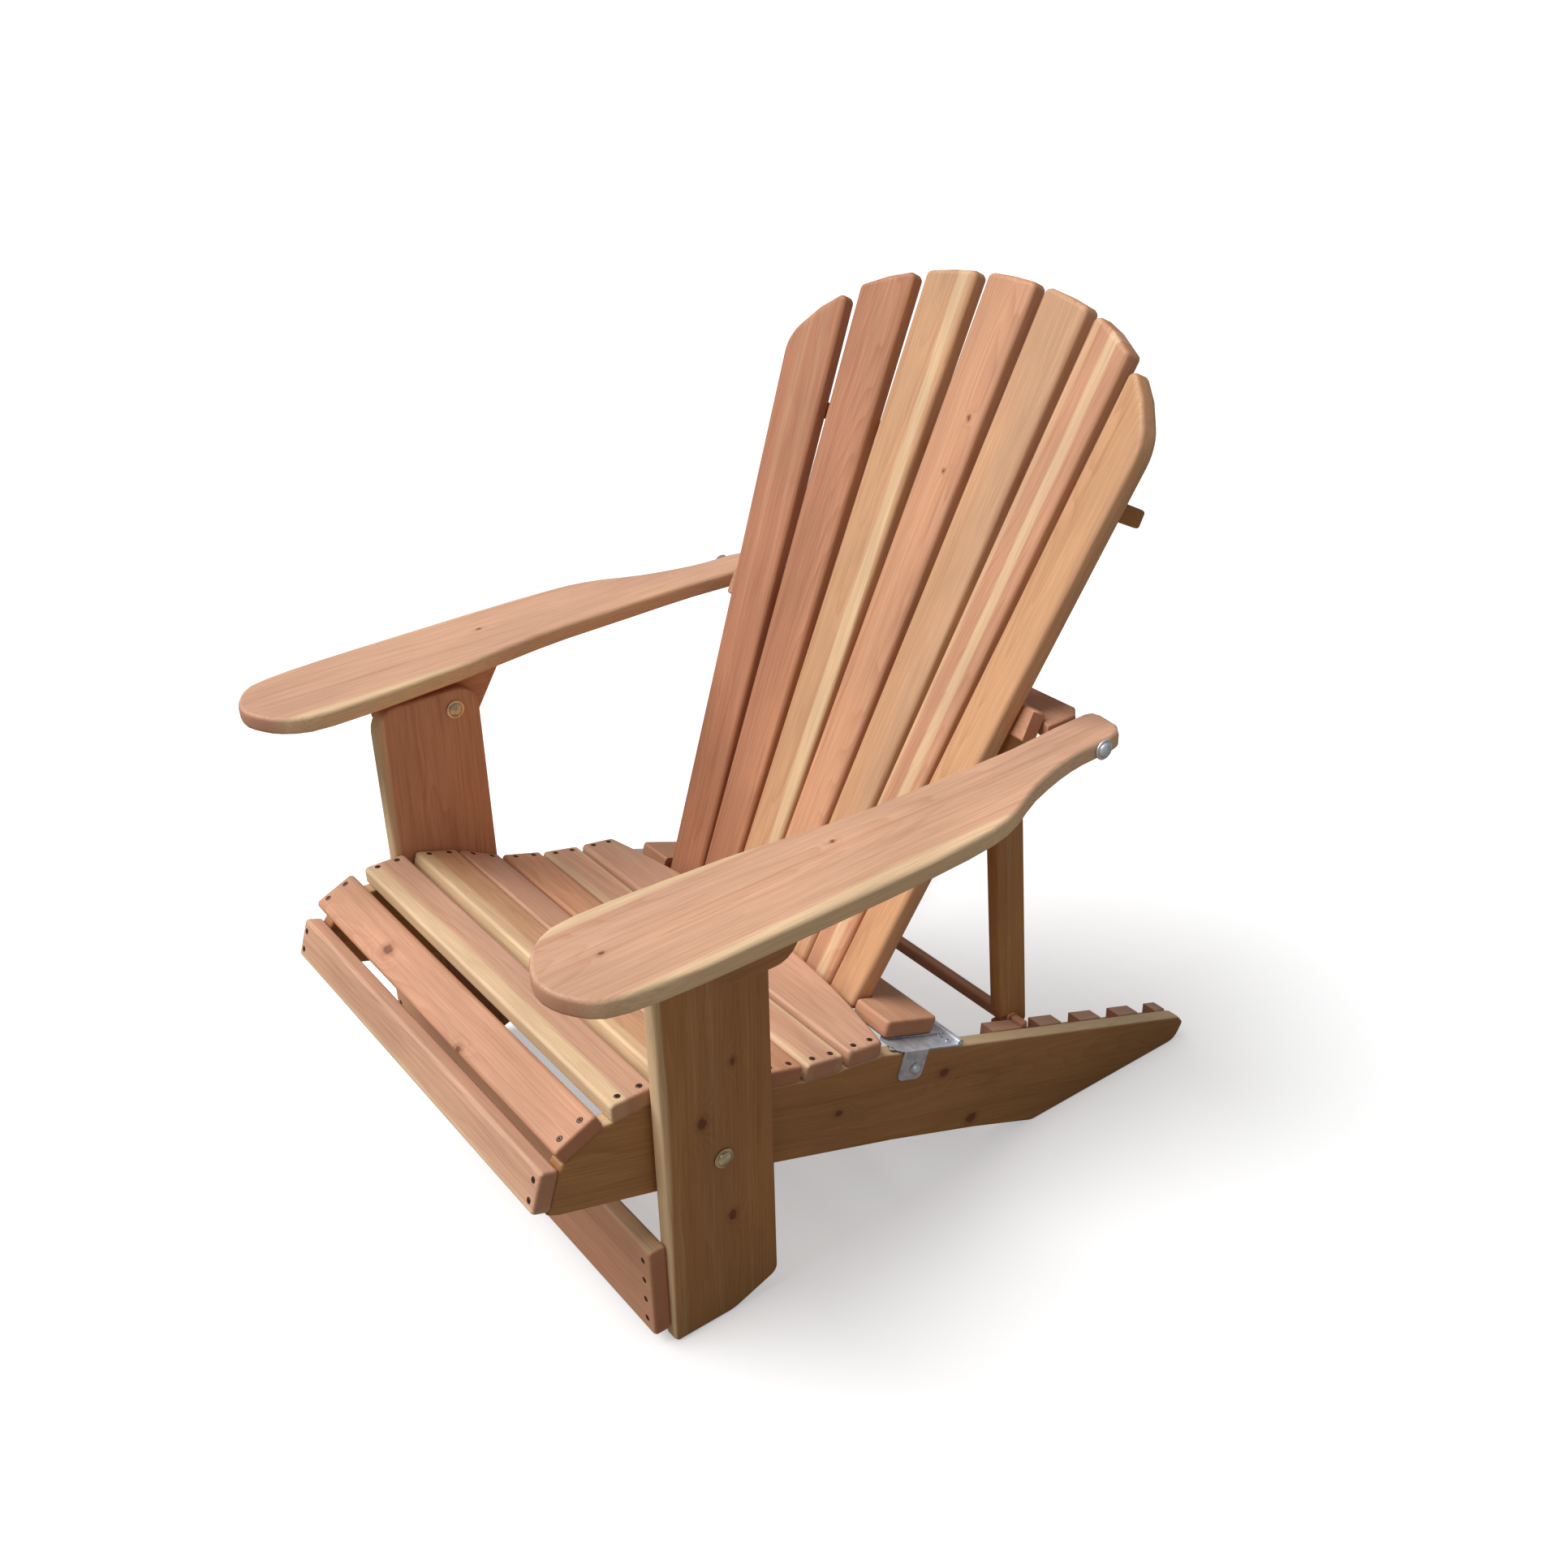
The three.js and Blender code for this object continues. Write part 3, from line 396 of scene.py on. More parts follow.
@dataclass(frozen=True)
class CedarFinish:
    """Oiled planed cedar on one board.

    Attributes:
        tone: the board's colours.
        seed: picks the board's own figure.
        stripes: up to two pale bands.
        knots: up to three knots.
        edges: strength of the painted highlight on the faces at its two long edges, at +across and at
            -across.
    """

    tone: CedarTone = CedarTone.ROSE
    seed: float = 1.0
    stripes: tuple[Stripe, ...] = ()
    knots: tuple[Knot, ...] = ()
    edges: tuple[float, float] = (0.0, 0.0)

    def material(self, name: str, turn: Matrix, centre: Vector) -> bpy.types.Material:
        """Make the board's material.

        Args:
            name: the material's name.
            turn: rotation from the row frame into the board's frame.
            centre: the board's middle in the row frame.

        Returns:
            The material, which reads object coordinates turned into the board's frame.
        """
        material = bpy.data.materials.new(name)
        material.use_nodes = True
        g = Graph(material.node_tree)
        shader = material.node_tree.nodes["Principled BSDF"]
        shader.inputs["Specular IOR Level"].default_value = 0.36
        coordinates = g.add("ShaderNodeTexCoord")
        place = g.add("ShaderNodeMapping", vector_type="POINT")
        facing = g.add("ShaderNodeMapping", vector_type="VECTOR")
        for node, source in ((place, "Object"), (facing, "Normal")):
            g.feed(node.inputs["Vector"], coordinates.outputs[source])
            node.inputs["Rotation"].default_value = turn.to_euler("XYZ")
        place.inputs["Location"].default_value = -(turn @ centre)
        group = bpy.data.node_groups.get("planed_cedar") or cedar_group()
        wood = g.add("ShaderNodeGroup", node_tree=group)
        g.feed(wood.inputs["Place"], place.outputs[0])
        g.feed(wood.inputs["Facing"], facing.outputs[0])
        wood.inputs["Seed"].default_value = self.seed
        for socket, colour in zip(("Earlywood", "Latewood", "Streak"), self.tone.value):
            wood.inputs[socket].default_value = (*colour, 1.0)
        for word, stripe in zip(("First Stripe", "Second Stripe"), (*self.stripes, NO_STRIPE, NO_STRIPE)):
            wood.inputs[f"{word} Centre"].default_value = stripe.centre
            wood.inputs[f"{word} Half"].default_value = stripe.half
            wood.inputs[f"{word} Soft"].default_value = stripe.soft
            wood.inputs[f"{word} Strength"].default_value = stripe.strength
        for number, knot in enumerate((*self.knots, NO_KNOT, NO_KNOT, NO_KNOT)[:3], 1):
            wood.inputs[f"Knot {number}"].default_value = (knot.along, knot.across, knot.radius)
        wood.inputs["Upper Edge Highlight"].default_value, wood.inputs["Lower Edge Highlight"].default_value = self.edges
        g.feed(shader.inputs["Base Color"], wood.outputs["Colour"])
        g.feed(shader.inputs["Roughness"], wood.outputs["Gloss"])
        bump = g.add("ShaderNodeBump")
        bump.inputs["Strength"].default_value = 0.35
        bump.inputs["Distance"].default_value = 0.4 * MM
        g.feed(bump.inputs["Height"], wood.outputs["Relief"])
        g.feed(shader.inputs["Normal"], bump.outputs[0])
        return material


@dataclass(frozen=True)
class MetalFinish:
    """Plated steel with faint smudges and scratches.

    Attributes:
        name: the material's name.
        colour: the plating's colour.
        roughness: how dull it is.
        grain: scale of its smudges.
        metallic: how metallic it is; dull plating scatters some light.
    """

    name: str
    colour: RGB
    roughness: float
    grain: float = 90.0
    metallic: float = 1.0

    def material(self) -> bpy.types.Material:
        """Return the finish's material, made once.

        Returns:
            The material.
        """
        made = bpy.data.materials.get(self.name)
        if made:
            return made
        material = bpy.data.materials.new(self.name)
        material.use_nodes = True
        g = Graph(material.node_tree)
        shader = material.node_tree.nodes["Principled BSDF"]
        shader.inputs["Metallic"].default_value = self.metallic
        place = g.add("ShaderNodeTexCoord").outputs["Object"]
        smudge = g.noise(place, self.grain, 3.0)
        scratch = g.noise(g.vector("MULTIPLY", place, (60.0, 900.0, 900.0)), 1.0, 2.0)
        dark = tuple(0.72 * part for part in self.colour)
        colour = g.blend(g.step(smudge, 0.35, 0.70), self.colour, dark)
        g.feed(shader.inputs["Base Color"], colour)
        rough = g.plus(self.roughness - 0.06, g.times(smudge, 0.16))
        g.feed(shader.inputs["Roughness"], rough)
        bump = g.fill("ShaderNodeBump", {"Strength": 0.20, "Distance": 0.1 * MM, "Height": scratch})
        g.feed(shader.inputs["Normal"], bump.outputs[0])
        return material


ZINC = MetalFinish("zinc_plate", (0.72, 0.76, 0.84), 0.42, 90.0, 0.55)
YELLOW_ZINC = MetalFinish("yellow_zinc", (0.80, 0.72, 0.50), 0.28)
DARK_SCREW = MetalFinish("dark_screw", (0.200, 0.125, 0.085), 0.45, 300.0)
# Painted shade: the near-black of the dark rings round the screw heads and of their cross recesses.
PAINTED_SCREW_SHADE = MetalFinish("painted_screw_shade", (0.045, 0.026, 0.018), 0.60, 300.0)


# ---------------------------------------------------------------- boards
MERGE_DISTANCE = 0.01 * MM
FLAT_ANGLE = math.radians(0.6)


def new_object(name: str, mesh: bpy.types.ID) -> bpy.types.Object:
    """Make an object and put it in the scene.

    Args:
        name: the object's name.
        mesh: its mesh, already in the row frame, or its camera or light.

    Returns:
        The object, at the origin.
    """
    made = bpy.data.objects.new(name, mesh)
    bpy.context.scene.collection.objects.link(made)
    return made


def mesh_from(shape: bmesh.types.BMesh, name: str) -> bpy.types.Mesh:
    """Turn a bmesh into a mesh and free it.

    Args:
        shape: the bmesh.
        name: the mesh's name.

    Returns:
        The new mesh.
    """
    mesh = bpy.data.meshes.new(name)
    shape.to_mesh(mesh)
    shape.free()
    return mesh


def smooth_copy(node: str, frame: dict, crease: float = 50.0) -> bpy.types.Object:
    """Copy a frame node into a merged mesh whose eased edges shade smoothly.

    Args:
        node: the frame node's name.
        crease: the angle in degrees past which an edge stays sharp.

    Returns:
        The new object.
    """
    shape = bmesh.new()
    shape.from_mesh(frame["nodes"][node].data)
    bmesh.ops.remove_doubles(shape, verts=shape.verts, dist=MERGE_DISTANCE)
    bmesh.ops.dissolve_limit(
        shape, angle_limit=FLAT_ANGLE, verts=shape.verts, edges=shape.edges,
        use_dissolve_boundaries=False
    )
    for face in shape.faces:
        face.smooth = True
    for edge in shape.edges:
        edge.smooth = edge.calc_face_angle(0.0) < math.radians(crease)
    made = new_object(f"{node}_finished", mesh_from(shape, node))
    weighted = made.modifiers.new("even_shading", "WEIGHTED_NORMAL")
    weighted.keep_sharp = True
    weighted.weight = 80
    return made


def upright(axis: np.ndarray) -> np.ndarray:
    """Turn an axis so that it points up, or along its largest part if it is level.

    Args:
        axis: a unit vector.

    Returns:
        The vector or its opposite.
    """
    lead = axis[2] if abs(axis[2]) > 0.2 else axis[np.argmax(np.abs(axis))]
    return axis if lead > 0 else -axis


@dataclass
class Board:
    """One cedar board: a finished copy of its frame node.

    Attributes:
        node: the frame node's name.
        body: the body that it moves with.
        finish: its cedar.
        turn: rotation from the row frame into (along, across, through), found when it is built.
        centre: its middle, found when it is built.
        half: half its length, width and thickness, found when it is built.
        made: its object once it is built.
    """

    node: str
    body: str
    finish: CedarFinish
    turn: Matrix = field(default_factory=lambda: Matrix.Identity(3))
    centre: Vector = field(default_factory=Vector)
    half: Vector = field(default_factory=Vector)
    made: bpy.types.Object | None = None

    def build(self, frame: dict) -> bpy.types.Object:
        """Copy the frame node and find the board's own axes.


        Returns:
            The board's object.
        """
        self.made = smooth_copy(self.node, frame)
        points = np.array([tuple(v.co) for v in self.made.data.vertices])
        spread = np.cov((points - points.mean(0)).T)
        _, axes = np.linalg.eigh(spread)
        through = upright(axes[:, 0])
        along = upright(axes[:, 2]) if abs(axes[2, 2]) > 0.5 else axes[:, 2]
        along = along if along[np.argmax(np.abs(along))] > 0 else -along
        across = np.cross(through, along)
        self.turn = Matrix([along.tolist(), across.tolist(), through.tolist()])
        local = points @ np.array([along, across, through]).T
        low, high = local.min(0), local.max(0)
        self.centre = self.turn.transposed() @ Vector((low + high) / 2)
        self.half = Vector((high - low) / 2)
        return self.made

    def at(self, along: float, across: float, through: float) -> Vector:
        """Return a point given from the board's middle in its own directions.

        Args:
            along: distance along the board.
            across: distance across it.
            through: distance through it, towards its show face.

        Returns:
            The point in the row frame.
        """
        return self.centre + self.turn.transposed() @ Vector((along, across, through))

    def dress(self) -> None:
        """Give the board its cedar, and let it ride in place of its frame node."""
        material = self.finish.material(f"cedar_{self.node}", self.turn, self.centre)
        self.made.data.materials.clear()
        self.made.data.materials.append(material)
        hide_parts(self.node)
        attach(self.made, self.body)


# ---------------------------------------------------------------- screws
@dataclass(frozen=True)
class ScrewStyle:
    """Sizes and finishes of one kind of screw head.

    Attributes:
        radius: radius of the head.
        rise: how far it stands out.
        slot: width of the cross recess, drawn as two dark bars of painted shade on the head.
        metal: the head's finish.
        ring: radius of the dark ring of painted shade round it, which stands for the hole it sits in, as a
            share of the head's.
    """

    radius: float
    rise: float
    slot: float
    metal: MetalFinish
    ring: float


DECK_SCREW = ScrewStyle(3.1 * MM, 0.30 * MM, 1.0 * MM, DARK_SCREW, 1.16)
PAN_SCREW = ScrewStyle(3.6 * MM, 1.7 * MM, 0.9 * MM, ZINC, 1.05)
SCREW_SIDES = 20
HEAD_TAPER = 0.80
# Sizes of the painted shade: the dark disc round each head and the dark cross on it.
SHADE_RING_DEPTH = 0.24 * MM
SLOT_REACH = 1.16
SLOT_DEPTH = 0.16 * MM


def screw_tree() -> bpy.types.GeometryNodeTree:
    """Make the Geometry Nodes tree that sets a cross-head screw on every point, with painted shade in a dark
    ring round the head and a dark cross on it.

    Returns:
        The tree, with named inputs for the head's sizes, its seed and its materials.
    """
    tree = bpy.data.node_groups.new("cross_head_screws", "GeometryNodeTree")
    tree.interface.new_socket("Geometry", in_out="OUTPUT", socket_type="NodeSocketGeometry")
    inputs = [("Geometry", "Geometry"), ("Head Radius", "Float"), ("Head Rise", "Float"),
              ("Slot Width", "Float"), ("Shade Ring Share", "Float"), ("Turn Seed", "Int"),
              ("Metal", "Material"), ("Painted Shade", "Material")]
    for name, kind in inputs:
        tree.interface.new_socket(name, in_out="INPUT", socket_type=f"NodeSocket{kind}")
    g = Graph(tree)
    given = g.add("NodeGroupInput").outputs
    radius, rise = given["Head Radius"], given["Head Rise"]

    head = g.fill("GeometryNodeMeshCone", {
        "Vertices": SCREW_SIDES, "Radius Bottom": radius, "Depth": rise,
        "Radius Top": g.times(radius, HEAD_TAPER),
    }, fill_type="NGON")
    # Painted shade: a thin dark disc round the head stands for the shade in the hole it sits in, and two dark
    # bars on the head stand for the shade in its cross recess.
    ring = g.fill("GeometryNodeMeshCylinder", {
        "Vertices": SCREW_SIDES, "Depth": SHADE_RING_DEPTH,
        "Radius": g.times(radius, given["Shade Ring Share"]),
    }, fill_type="NGON")
    slot = {0: g.times(radius, SLOT_REACH), 1: given["Slot Width"], 2: SLOT_DEPTH}
    size = g.fill("ShaderNodeCombineXYZ", slot).outputs[0]
    lift = g.fill("ShaderNodeCombineXYZ", {2: rise}).outputs[0]
    painted_shade_parts = [ring.outputs["Mesh"]]
    for quarter in (0.0, math.pi / 2):
        bar = g.fill("GeometryNodeMeshCube", {"Size": size})
        turned = {"Geometry": bar.outputs["Mesh"], "Translation": lift, "Rotation": (0.0, 0.0, quarter)}
        painted_shade_parts.append(g.fill("GeometryNodeTransform", turned).outputs[0])
    dark = g.add("GeometryNodeJoinGeometry")
    for part in painted_shade_parts:
        tree.links.new(part, dark.inputs[0])
    stored = {"Geometry": dark.outputs[0], "Name": "recess", "Value": True}
    mark = g.fill("GeometryNodeStoreNamedAttribute", stored, data_type="BOOLEAN", domain="FACE")
    screw = g.add("GeometryNodeJoinGeometry")
    for part in (head.outputs["Mesh"], mark.outputs[0]):
        tree.links.new(part, screw.inputs[0])

    facing = g.fill("GeometryNodeInputNamedAttribute", {"Name": "facing"}, data_type="FLOAT_VECTOR")
    align = g.fill("FunctionNodeAlignRotationToVector", {"Vector": facing.outputs[0]}, axis="Z")
    placed = g.fill("GeometryNodeInstanceOnPoints", {
        "Points": given["Geometry"], "Instance": screw.outputs[0], "Rotation": align.outputs[0],
    })
    spin = g.fill("FunctionNodeRandomValue", {"Seed": given["Turn Seed"]}, data_type="FLOAT")
    g.feed(next(s for s in spin.inputs if s.name == "Max" and s.type == "VALUE"), math.pi)
    angle = g.fill("ShaderNodeCombineXYZ", {2: next(s for s in spin.outputs if s.type == "VALUE")})
    turn = g.fill("GeometryNodeRotateInstances", {
        "Instances": placed.outputs[0], "Rotation": angle.outputs[0],
    })
    real = g.fill("GeometryNodeRealizeInstances", {0: turn.outputs[0]})
    metal = g.fill("GeometryNodeSetMaterial", {"Geometry": real.outputs[0], "Material": given["Metal"]})
    # The marked parts get the dark material of painted shade; the rest gets the metal.
    marked = g.fill("GeometryNodeInputNamedAttribute", {"Name": "recess"}, data_type="BOOLEAN")
    recess = g.fill("GeometryNodeSetMaterial", {
        "Geometry": metal.outputs[0], "Material": given["Painted Shade"],
        "Selection": next(s for s in marked.outputs if s.type == "BOOLEAN"),
    })
    g.feed(g.add("NodeGroupOutput").inputs[0], recess.outputs[0])
    return tree


@dataclass
class ScrewSet:
    """All the screws of one kind on one body.

    Attributes:
        name: the piece's name.
        body: the body that they move with.
        style: their sizes and finish.
        seed: fixes how far each screw was turned.
        seats: where each screw sits and which way it faces.
    """

    name: str
    body: str
    style: ScrewStyle
    seed: int
    seats: list[tuple[Vector, Vector]] = field(default_factory=list)

    def add(self, board: Board, along: float, across: float, face: float = 1.0) -> None:
        """Set a screw in a board.

        Args:
            board: the board.
            along: place along it from its middle.
            across: place across it from its middle.
            face: 1 for the board's show face, -1 for the other.
        """
        facing = board.turn.transposed() @ Vector((0.0, 0.0, face))
        self.seats.append((board.at(along, across, face * board.half.z), facing))

    def build(self) -> bpy.types.Object:
        """Run the tree on the seats and keep its result as a plain mesh.

        Returns:
            The screws' object.
        """
        points = bpy.data.meshes.new(f"{self.name}_seats")
        points.from_pydata([tuple(place) for place, _ in self.seats], [], [])
        facing = points.attributes.new("facing", "FLOAT_VECTOR", "POINT")
        facing.data.foreach_set("vector", [part for _, way in self.seats for part in way])
        seats = new_object(f"{self.name}_seats", points)
        tree = bpy.data.node_groups.get("cross_head_screws") or screw_tree()
        modifier = seats.modifiers.new("screws", "NODES")
        modifier.node_group = tree
        values = {
            "Head Radius": self.style.radius, "Head Rise": self.style.rise, "Slot Width": self.style.slot,
            "Shade Ring Share": self.style.ring, "Turn Seed": self.seed,
            "Metal": self.style.metal.material(), "Painted Shade": PAINTED_SCREW_SHADE.material(),
        }
        for item in tree.interface.items_tree:
            if item.in_out == "INPUT" and item.name in values:
                modifier[item.identifier] = values[item.name]
        evaluated = seats.evaluated_get(bpy.context.evaluated_depsgraph_get())
        mesh = bpy.data.meshes.new_from_object(evaluated)
        seats.modifiers.remove(modifier)
        bpy.data.objects.remove(seats)
        made = new_object(self.name, mesh)
        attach(made, self.body)
        return made


# ---------------------------------------------------------------- turned bolts
class HeadSide(Enum):
    """Which end of a bolt has its head: away from the chair's centre plane or towards it."""

    OUTER = 1.0
    INNER = -1.0


def ring_of_points(shape: bmesh.types.BMesh, station: float, radius: float, sides: int) -> list:
    """Add a ring of points round the X axis, or one point on it.

    Args:
        shape: the bmesh to add to.
        station: the ring's distance along -X.
        radius: its radius; 0 makes one point.
        sides: how many points it has.

    Returns:
        The new points.
    """
    if radius == 0.0:
        return [shape.verts.new((-station, 0.0, 0.0))]
    turns = [2 * math.pi * i / sides for i in range(sides)]
    return [shape.verts.new((-station, radius * math.cos(t), radius * math.sin(t))) for t in turns]


@dataclass
class TurnedBolt:
    """A domed bolt with washers and, on its far end, a hex nut.

    Attributes:
        node: the frame node's name.
        body: the body that it moves with.
        head_side: which end has the head.
        finish: its plating.
        nut: whether it ends in a nut.
        head: radius of its domed head.
        washer: radius of the washer under the head.
        sides: how many sides its round parts have.
        shank: radius of its shank.
        dome: height of the head.
        washer_depth: thickness of its washers.
        washer_edge: broken edge of the head's washer.
        nut_corner: the nut's radius at its corners.
        nut_depth: the nut's thickness.
        nut_chamfer: height of the nut's chamfers.
        chamfer_share: the nut's size at its faces, as a share of its full size.
        tip: how far the shank stands out of the nut.
        tip_chamfer: chamfer at the shank's end.
        thread: pitch of its thread.
        thread_depth: how deep the thread is.
        crease: the angle past which its edges stay sharp.
    """

    node: str
    body: str
    head_side: HeadSide
    finish: MetalFinish
    nut: bool = True
    head: float = 9.0 * MM
    washer: float = 11.8 * MM
    sides: int = 32
    shank: float = 3.95 * MM
    dome: float = 5.4 * MM
    washer_depth: float = 1.9 * MM
    washer_edge: float = 0.35 * MM
    nut_corner: float = 7.4 * MM
    nut_depth: float = 6.0 * MM
    nut_chamfer: float = 0.7 * MM
    chamfer_share: float = 0.93
    tip: float = 3.0 * MM
    tip_chamfer: float = 0.8 * MM
    thread: float = 1.25 * MM
    thread_depth: float = 0.5 * MM
    crease: float = math.radians(35)

    def profile(self, length: float) -> list[tuple[float, float]]:
        """Return the turned outline as (distance behind the washer's face, radius).

        Args:
            length: from the top of the dome to the shank's tip.

        Returns:
            The outline from the dome to the tip.
        """
        top = -self.dome - self.washer_depth
        outline = [(top, 0.0)]
        for step in range(1, 9):
            angle = step / 8 * math.pi / 2
            outline.append((top + self.dome * (1 - math.cos(angle) ** 0.9), self.head * math.sin(angle)))
        edge = self.washer_edge
        outline += [(-self.washer_depth, self.head), (-self.washer_depth, self.washer - edge)]
        outline += [(-self.washer_depth + edge, self.washer), (-edge, self.washer), (0.0, self.washer - edge)]
        outline += [(0.0, self.shank)]
        end = length + top
        start = end - 4 * self.nut_depth / 3 - self.tip
        crest, turn = self.shank, start
        while turn + self.thread < end:
            outline += [(turn, crest), (turn + self.thread / 2, crest - self.thread_depth)]
            turn += self.thread
        outline += [(end - self.tip_chamfer, crest), (end, crest - self.tip_chamfer), (end, 0.0)]
        return outline

    def lathe(self, shape: bmesh.types.BMesh, outline: Sequence[tuple[float, float]]) -> None:
        """Spin an outline round the X axis into a bmesh.

        Args:
            shape: the bmesh to add to.
            outline: (station, radius) pairs that start and end on the axis.
        """
        rings = [ring_of_points(shape, station, radius, self.sides) for station, radius in outline]
        for near, far in zip(rings, rings[1:]):
            for i in range(self.sides):
                j = (i + 1) % self.sides
                corners = [near[i % len(near)], near[j % len(near)], far[j % len(far)], far[i % len(far)]]
                shape.faces.new(list(dict.fromkeys(corners)))

    def hex_nut(self, shape: bmesh.types.BMesh, face: float) -> None:
        """Add a washer and a chamfered hex nut outside a face.

        Args:
            shape: the bmesh to add to.
            face: the face's station behind the head's washer.
        """
        start = face + self.washer_depth
        end = start + self.nut_depth
        rim = self.washer - MM
        self.lathe(shape, [(face, 0.0), (face, rim), (start, rim), (start, 0.0)])
        narrow = self.nut_corner * self.chamfer_share
        levels = [(start, narrow), (start + self.nut_chamfer, self.nut_corner),
                  (end - self.nut_chamfer, self.nut_corner), (end, narrow)]
        rings = [ring_of_points(shape, station, radius, 6) for station, radius in levels]
        for near, far in zip(rings, rings[1:]):
            for i in range(6):
                shape.faces.new([near[i], near[(i + 1) % 6], far[(i + 1) % 6], far[i]])
        shape.faces.new(list(reversed(rings[0])))
        shape.faces.new(rings[-1])

    def build(self) -> bpy.types.Object:
        """Turn the bolt to its frame node's length and put it in place.

        Returns:
            The bolt's object.
        """
        low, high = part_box(self.node)
        side = 1.0 if low.x + high.x > 0 else -1.0
        out = side * self.head_side.value
        length = high.x - low.x - 0.1 * MM
        shape = bmesh.new()
        self.lathe(shape, self.profile(length))
        if self.nut:
            end = length - self.dome - self.washer_depth
            self.hex_nut(shape, end - self.tip - self.nut_depth - self.washer_depth)
        bmesh.ops.recalc_face_normals(shape, faces=shape.faces)
        for face in shape.faces:
            face.smooth = True
        for edge in shape.edges:
            edge.smooth = edge.calc_face_angle(0.0) < self.crease
        head_end = (high.x if out > 0 else low.x) - out * (self.dome + self.washer_depth + 0.05 * MM)
        middle = Vector((head_end, (low.y + high.y) / 2, (low.z + high.z) / 2))
        turn = Matrix.Rotation(0.0 if out > 0 else math.pi, 4, "Z")
        bmesh.ops.transform(shape, matrix=Matrix.Translation(middle) @ turn, verts=shape.verts)
        made = new_object(f"{self.node}_turned", mesh_from(shape, self.node))
        made.data.materials.append(self.finish.material())
        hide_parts(self.node)
        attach(made, self.body)
        return made


# ---------------------------------------------------------------- sub-assemblies
@dataclass
class SubAssembly:
    """Boards and fittings that move as one body.

    Attributes:
        body: the body's name.
        boards: its boards by node name.
    """

    body: str
    boards: dict[str, Board] = field(default_factory=dict)

    def add_board(self, node: str, finish: CedarFinish) -> None:
        """Plan a board.

        Args:
            node: the frame node's name.
            finish: its cedar.
        """
        self.boards[node] = Board(node, self.body, finish)

    def add_bolts(self, stem: str, head_side: HeadSide, finish: MetalFinish) -> None:
        """Build a bolt on each side of the chair.

        Args:
            stem: the frame nodes' name without the side.
            head_side: which end has the head.
            finish: its plating.
        """
        for name, _ in SIDES:
            TurnedBolt(f"{stem}_{name}", self.body, head_side, finish).build()

    def plan(self) -> None:
        """List the boards; each sub-assembly has its own."""

    def build(self, frame: dict) -> None:
        """Build every planned board.
        """
        self.plan()
        for board in self.boards.values():
            board.build(frame)
            log.info("%s: %s", self.body, board.node)

    def dress(self) -> None:
        """Finish every board."""
        for board in self.boards.values():
            board.dress()


@dataclass
class SeatFrame(SubAssembly):
    """Stringers, racks, apron, seat slats and the screws that hold them.

    Attributes:
        end_inset: slat screws in from the slats' ends.
        screw_spread: slat screws from a slat's middle line, as a share of its width.
        rear_end: the rear slat's width at its ends.
    """

    body: str = "seat_frame"
    end_inset: float = 10.4 * MM
    screw_spread: float = 0.24
    rear_end: float = 50 * MM

    def plan(self) -> None:
        """Choose each board's cedar."""
        tones = CedarTone
        front = Stripe(-0.0275, 0.006, 0.008, 0.85)
        # In these finishes the last pair is the strength of the painted highlight on a board's two long
        # edges.
        slats = [
            CedarFinish(tones.ROSE, 3.1, (), (Knot(-0.126, -0.005, 0.0055), Knot(0.081, -0.024, 0.0035))),
            CedarFinish(tones.BLUSH, 5.7, (Stripe(-0.027, 0.014, 0.009, 0.9),), (), (0.0, 0.7)),
            CedarFinish(tones.TAN, 8.2, (Stripe(-0.028, 0.011, 0.007, 0.9),), (), (0.0, 0.7)),
            CedarFinish(tones.BLUSH, 11.4),
            CedarFinish(tones.ROSE, 14.9),
            CedarFinish(tones.BLUSH, 17.3, (front, Stripe(0.024, 0.005, 0.006, 0.7))),
            CedarFinish(tones.BLUSH, 21.8),
        ]
        foot = Stripe(-0.026, 0.006, 0.005, 0.7)
        self.add_board("apron", CedarFinish(tones.BLUSH, 2.2, (foot,), (), (0.0, 0.6)))
        for number, finish in enumerate(slats, 1):
            self.add_board(f"seat_slat_{number}", finish)
        knots = (Knot(0.036, 0.031, 0.0050), Knot(0.108, -0.0445, 0.0060), Knot(-0.124, 0.006, 0.0035))
        # The stringers' darker tone is partly their own cedar and partly painted shade for faces turned from
        # the sun.
        self.add_board("stringer_left", CedarFinish(tones.UMBER_WITH_SHADE, 4.4, (), knots, (0.9, 0.3)))
        self.add_board("stringer_right", CedarFinish(tones.UMBER_WITH_SHADE, 9.9, (), (), (0.7, 0.0)))
        self.add_board("rack_left", CedarFinish(tones.BLUSH, 6.6))
        self.add_board("rack_right", CedarFinish(tones.BLUSH, 7.9))

    def end_width(self, name: str) -> float:
        """Return a slat's width at its ends; the rear slat bows out towards its middle.

        Args:
            name: the slat's node name.

        Returns:
            The width.
        """
        return self.rear_end if name == "seat_slat_7" else 2 * self.boards[name].half.y

    def build(self, frame: dict) -> None:
        """Build the boards and set the screws.
        """
        super().build(frame)
        screws = ScrewSet("seat_screws", self.body, DECK_SCREW, 11)
        for name in ["apron", *[f"seat_slat_{n}" for n in range(1, 8)]]:
            board = self.boards[name]
            for end in (-1, 1):
                for share in (0.5 - self.screw_spread, 0.5 + self.screw_spread):
                    along = end * (board.half.x - self.end_inset)
                    screws.add(board, along, share * self.end_width(name) - board.half.y)
        screws.build()
        log.info("%s: %d screws", self.body, len(screws.seats))


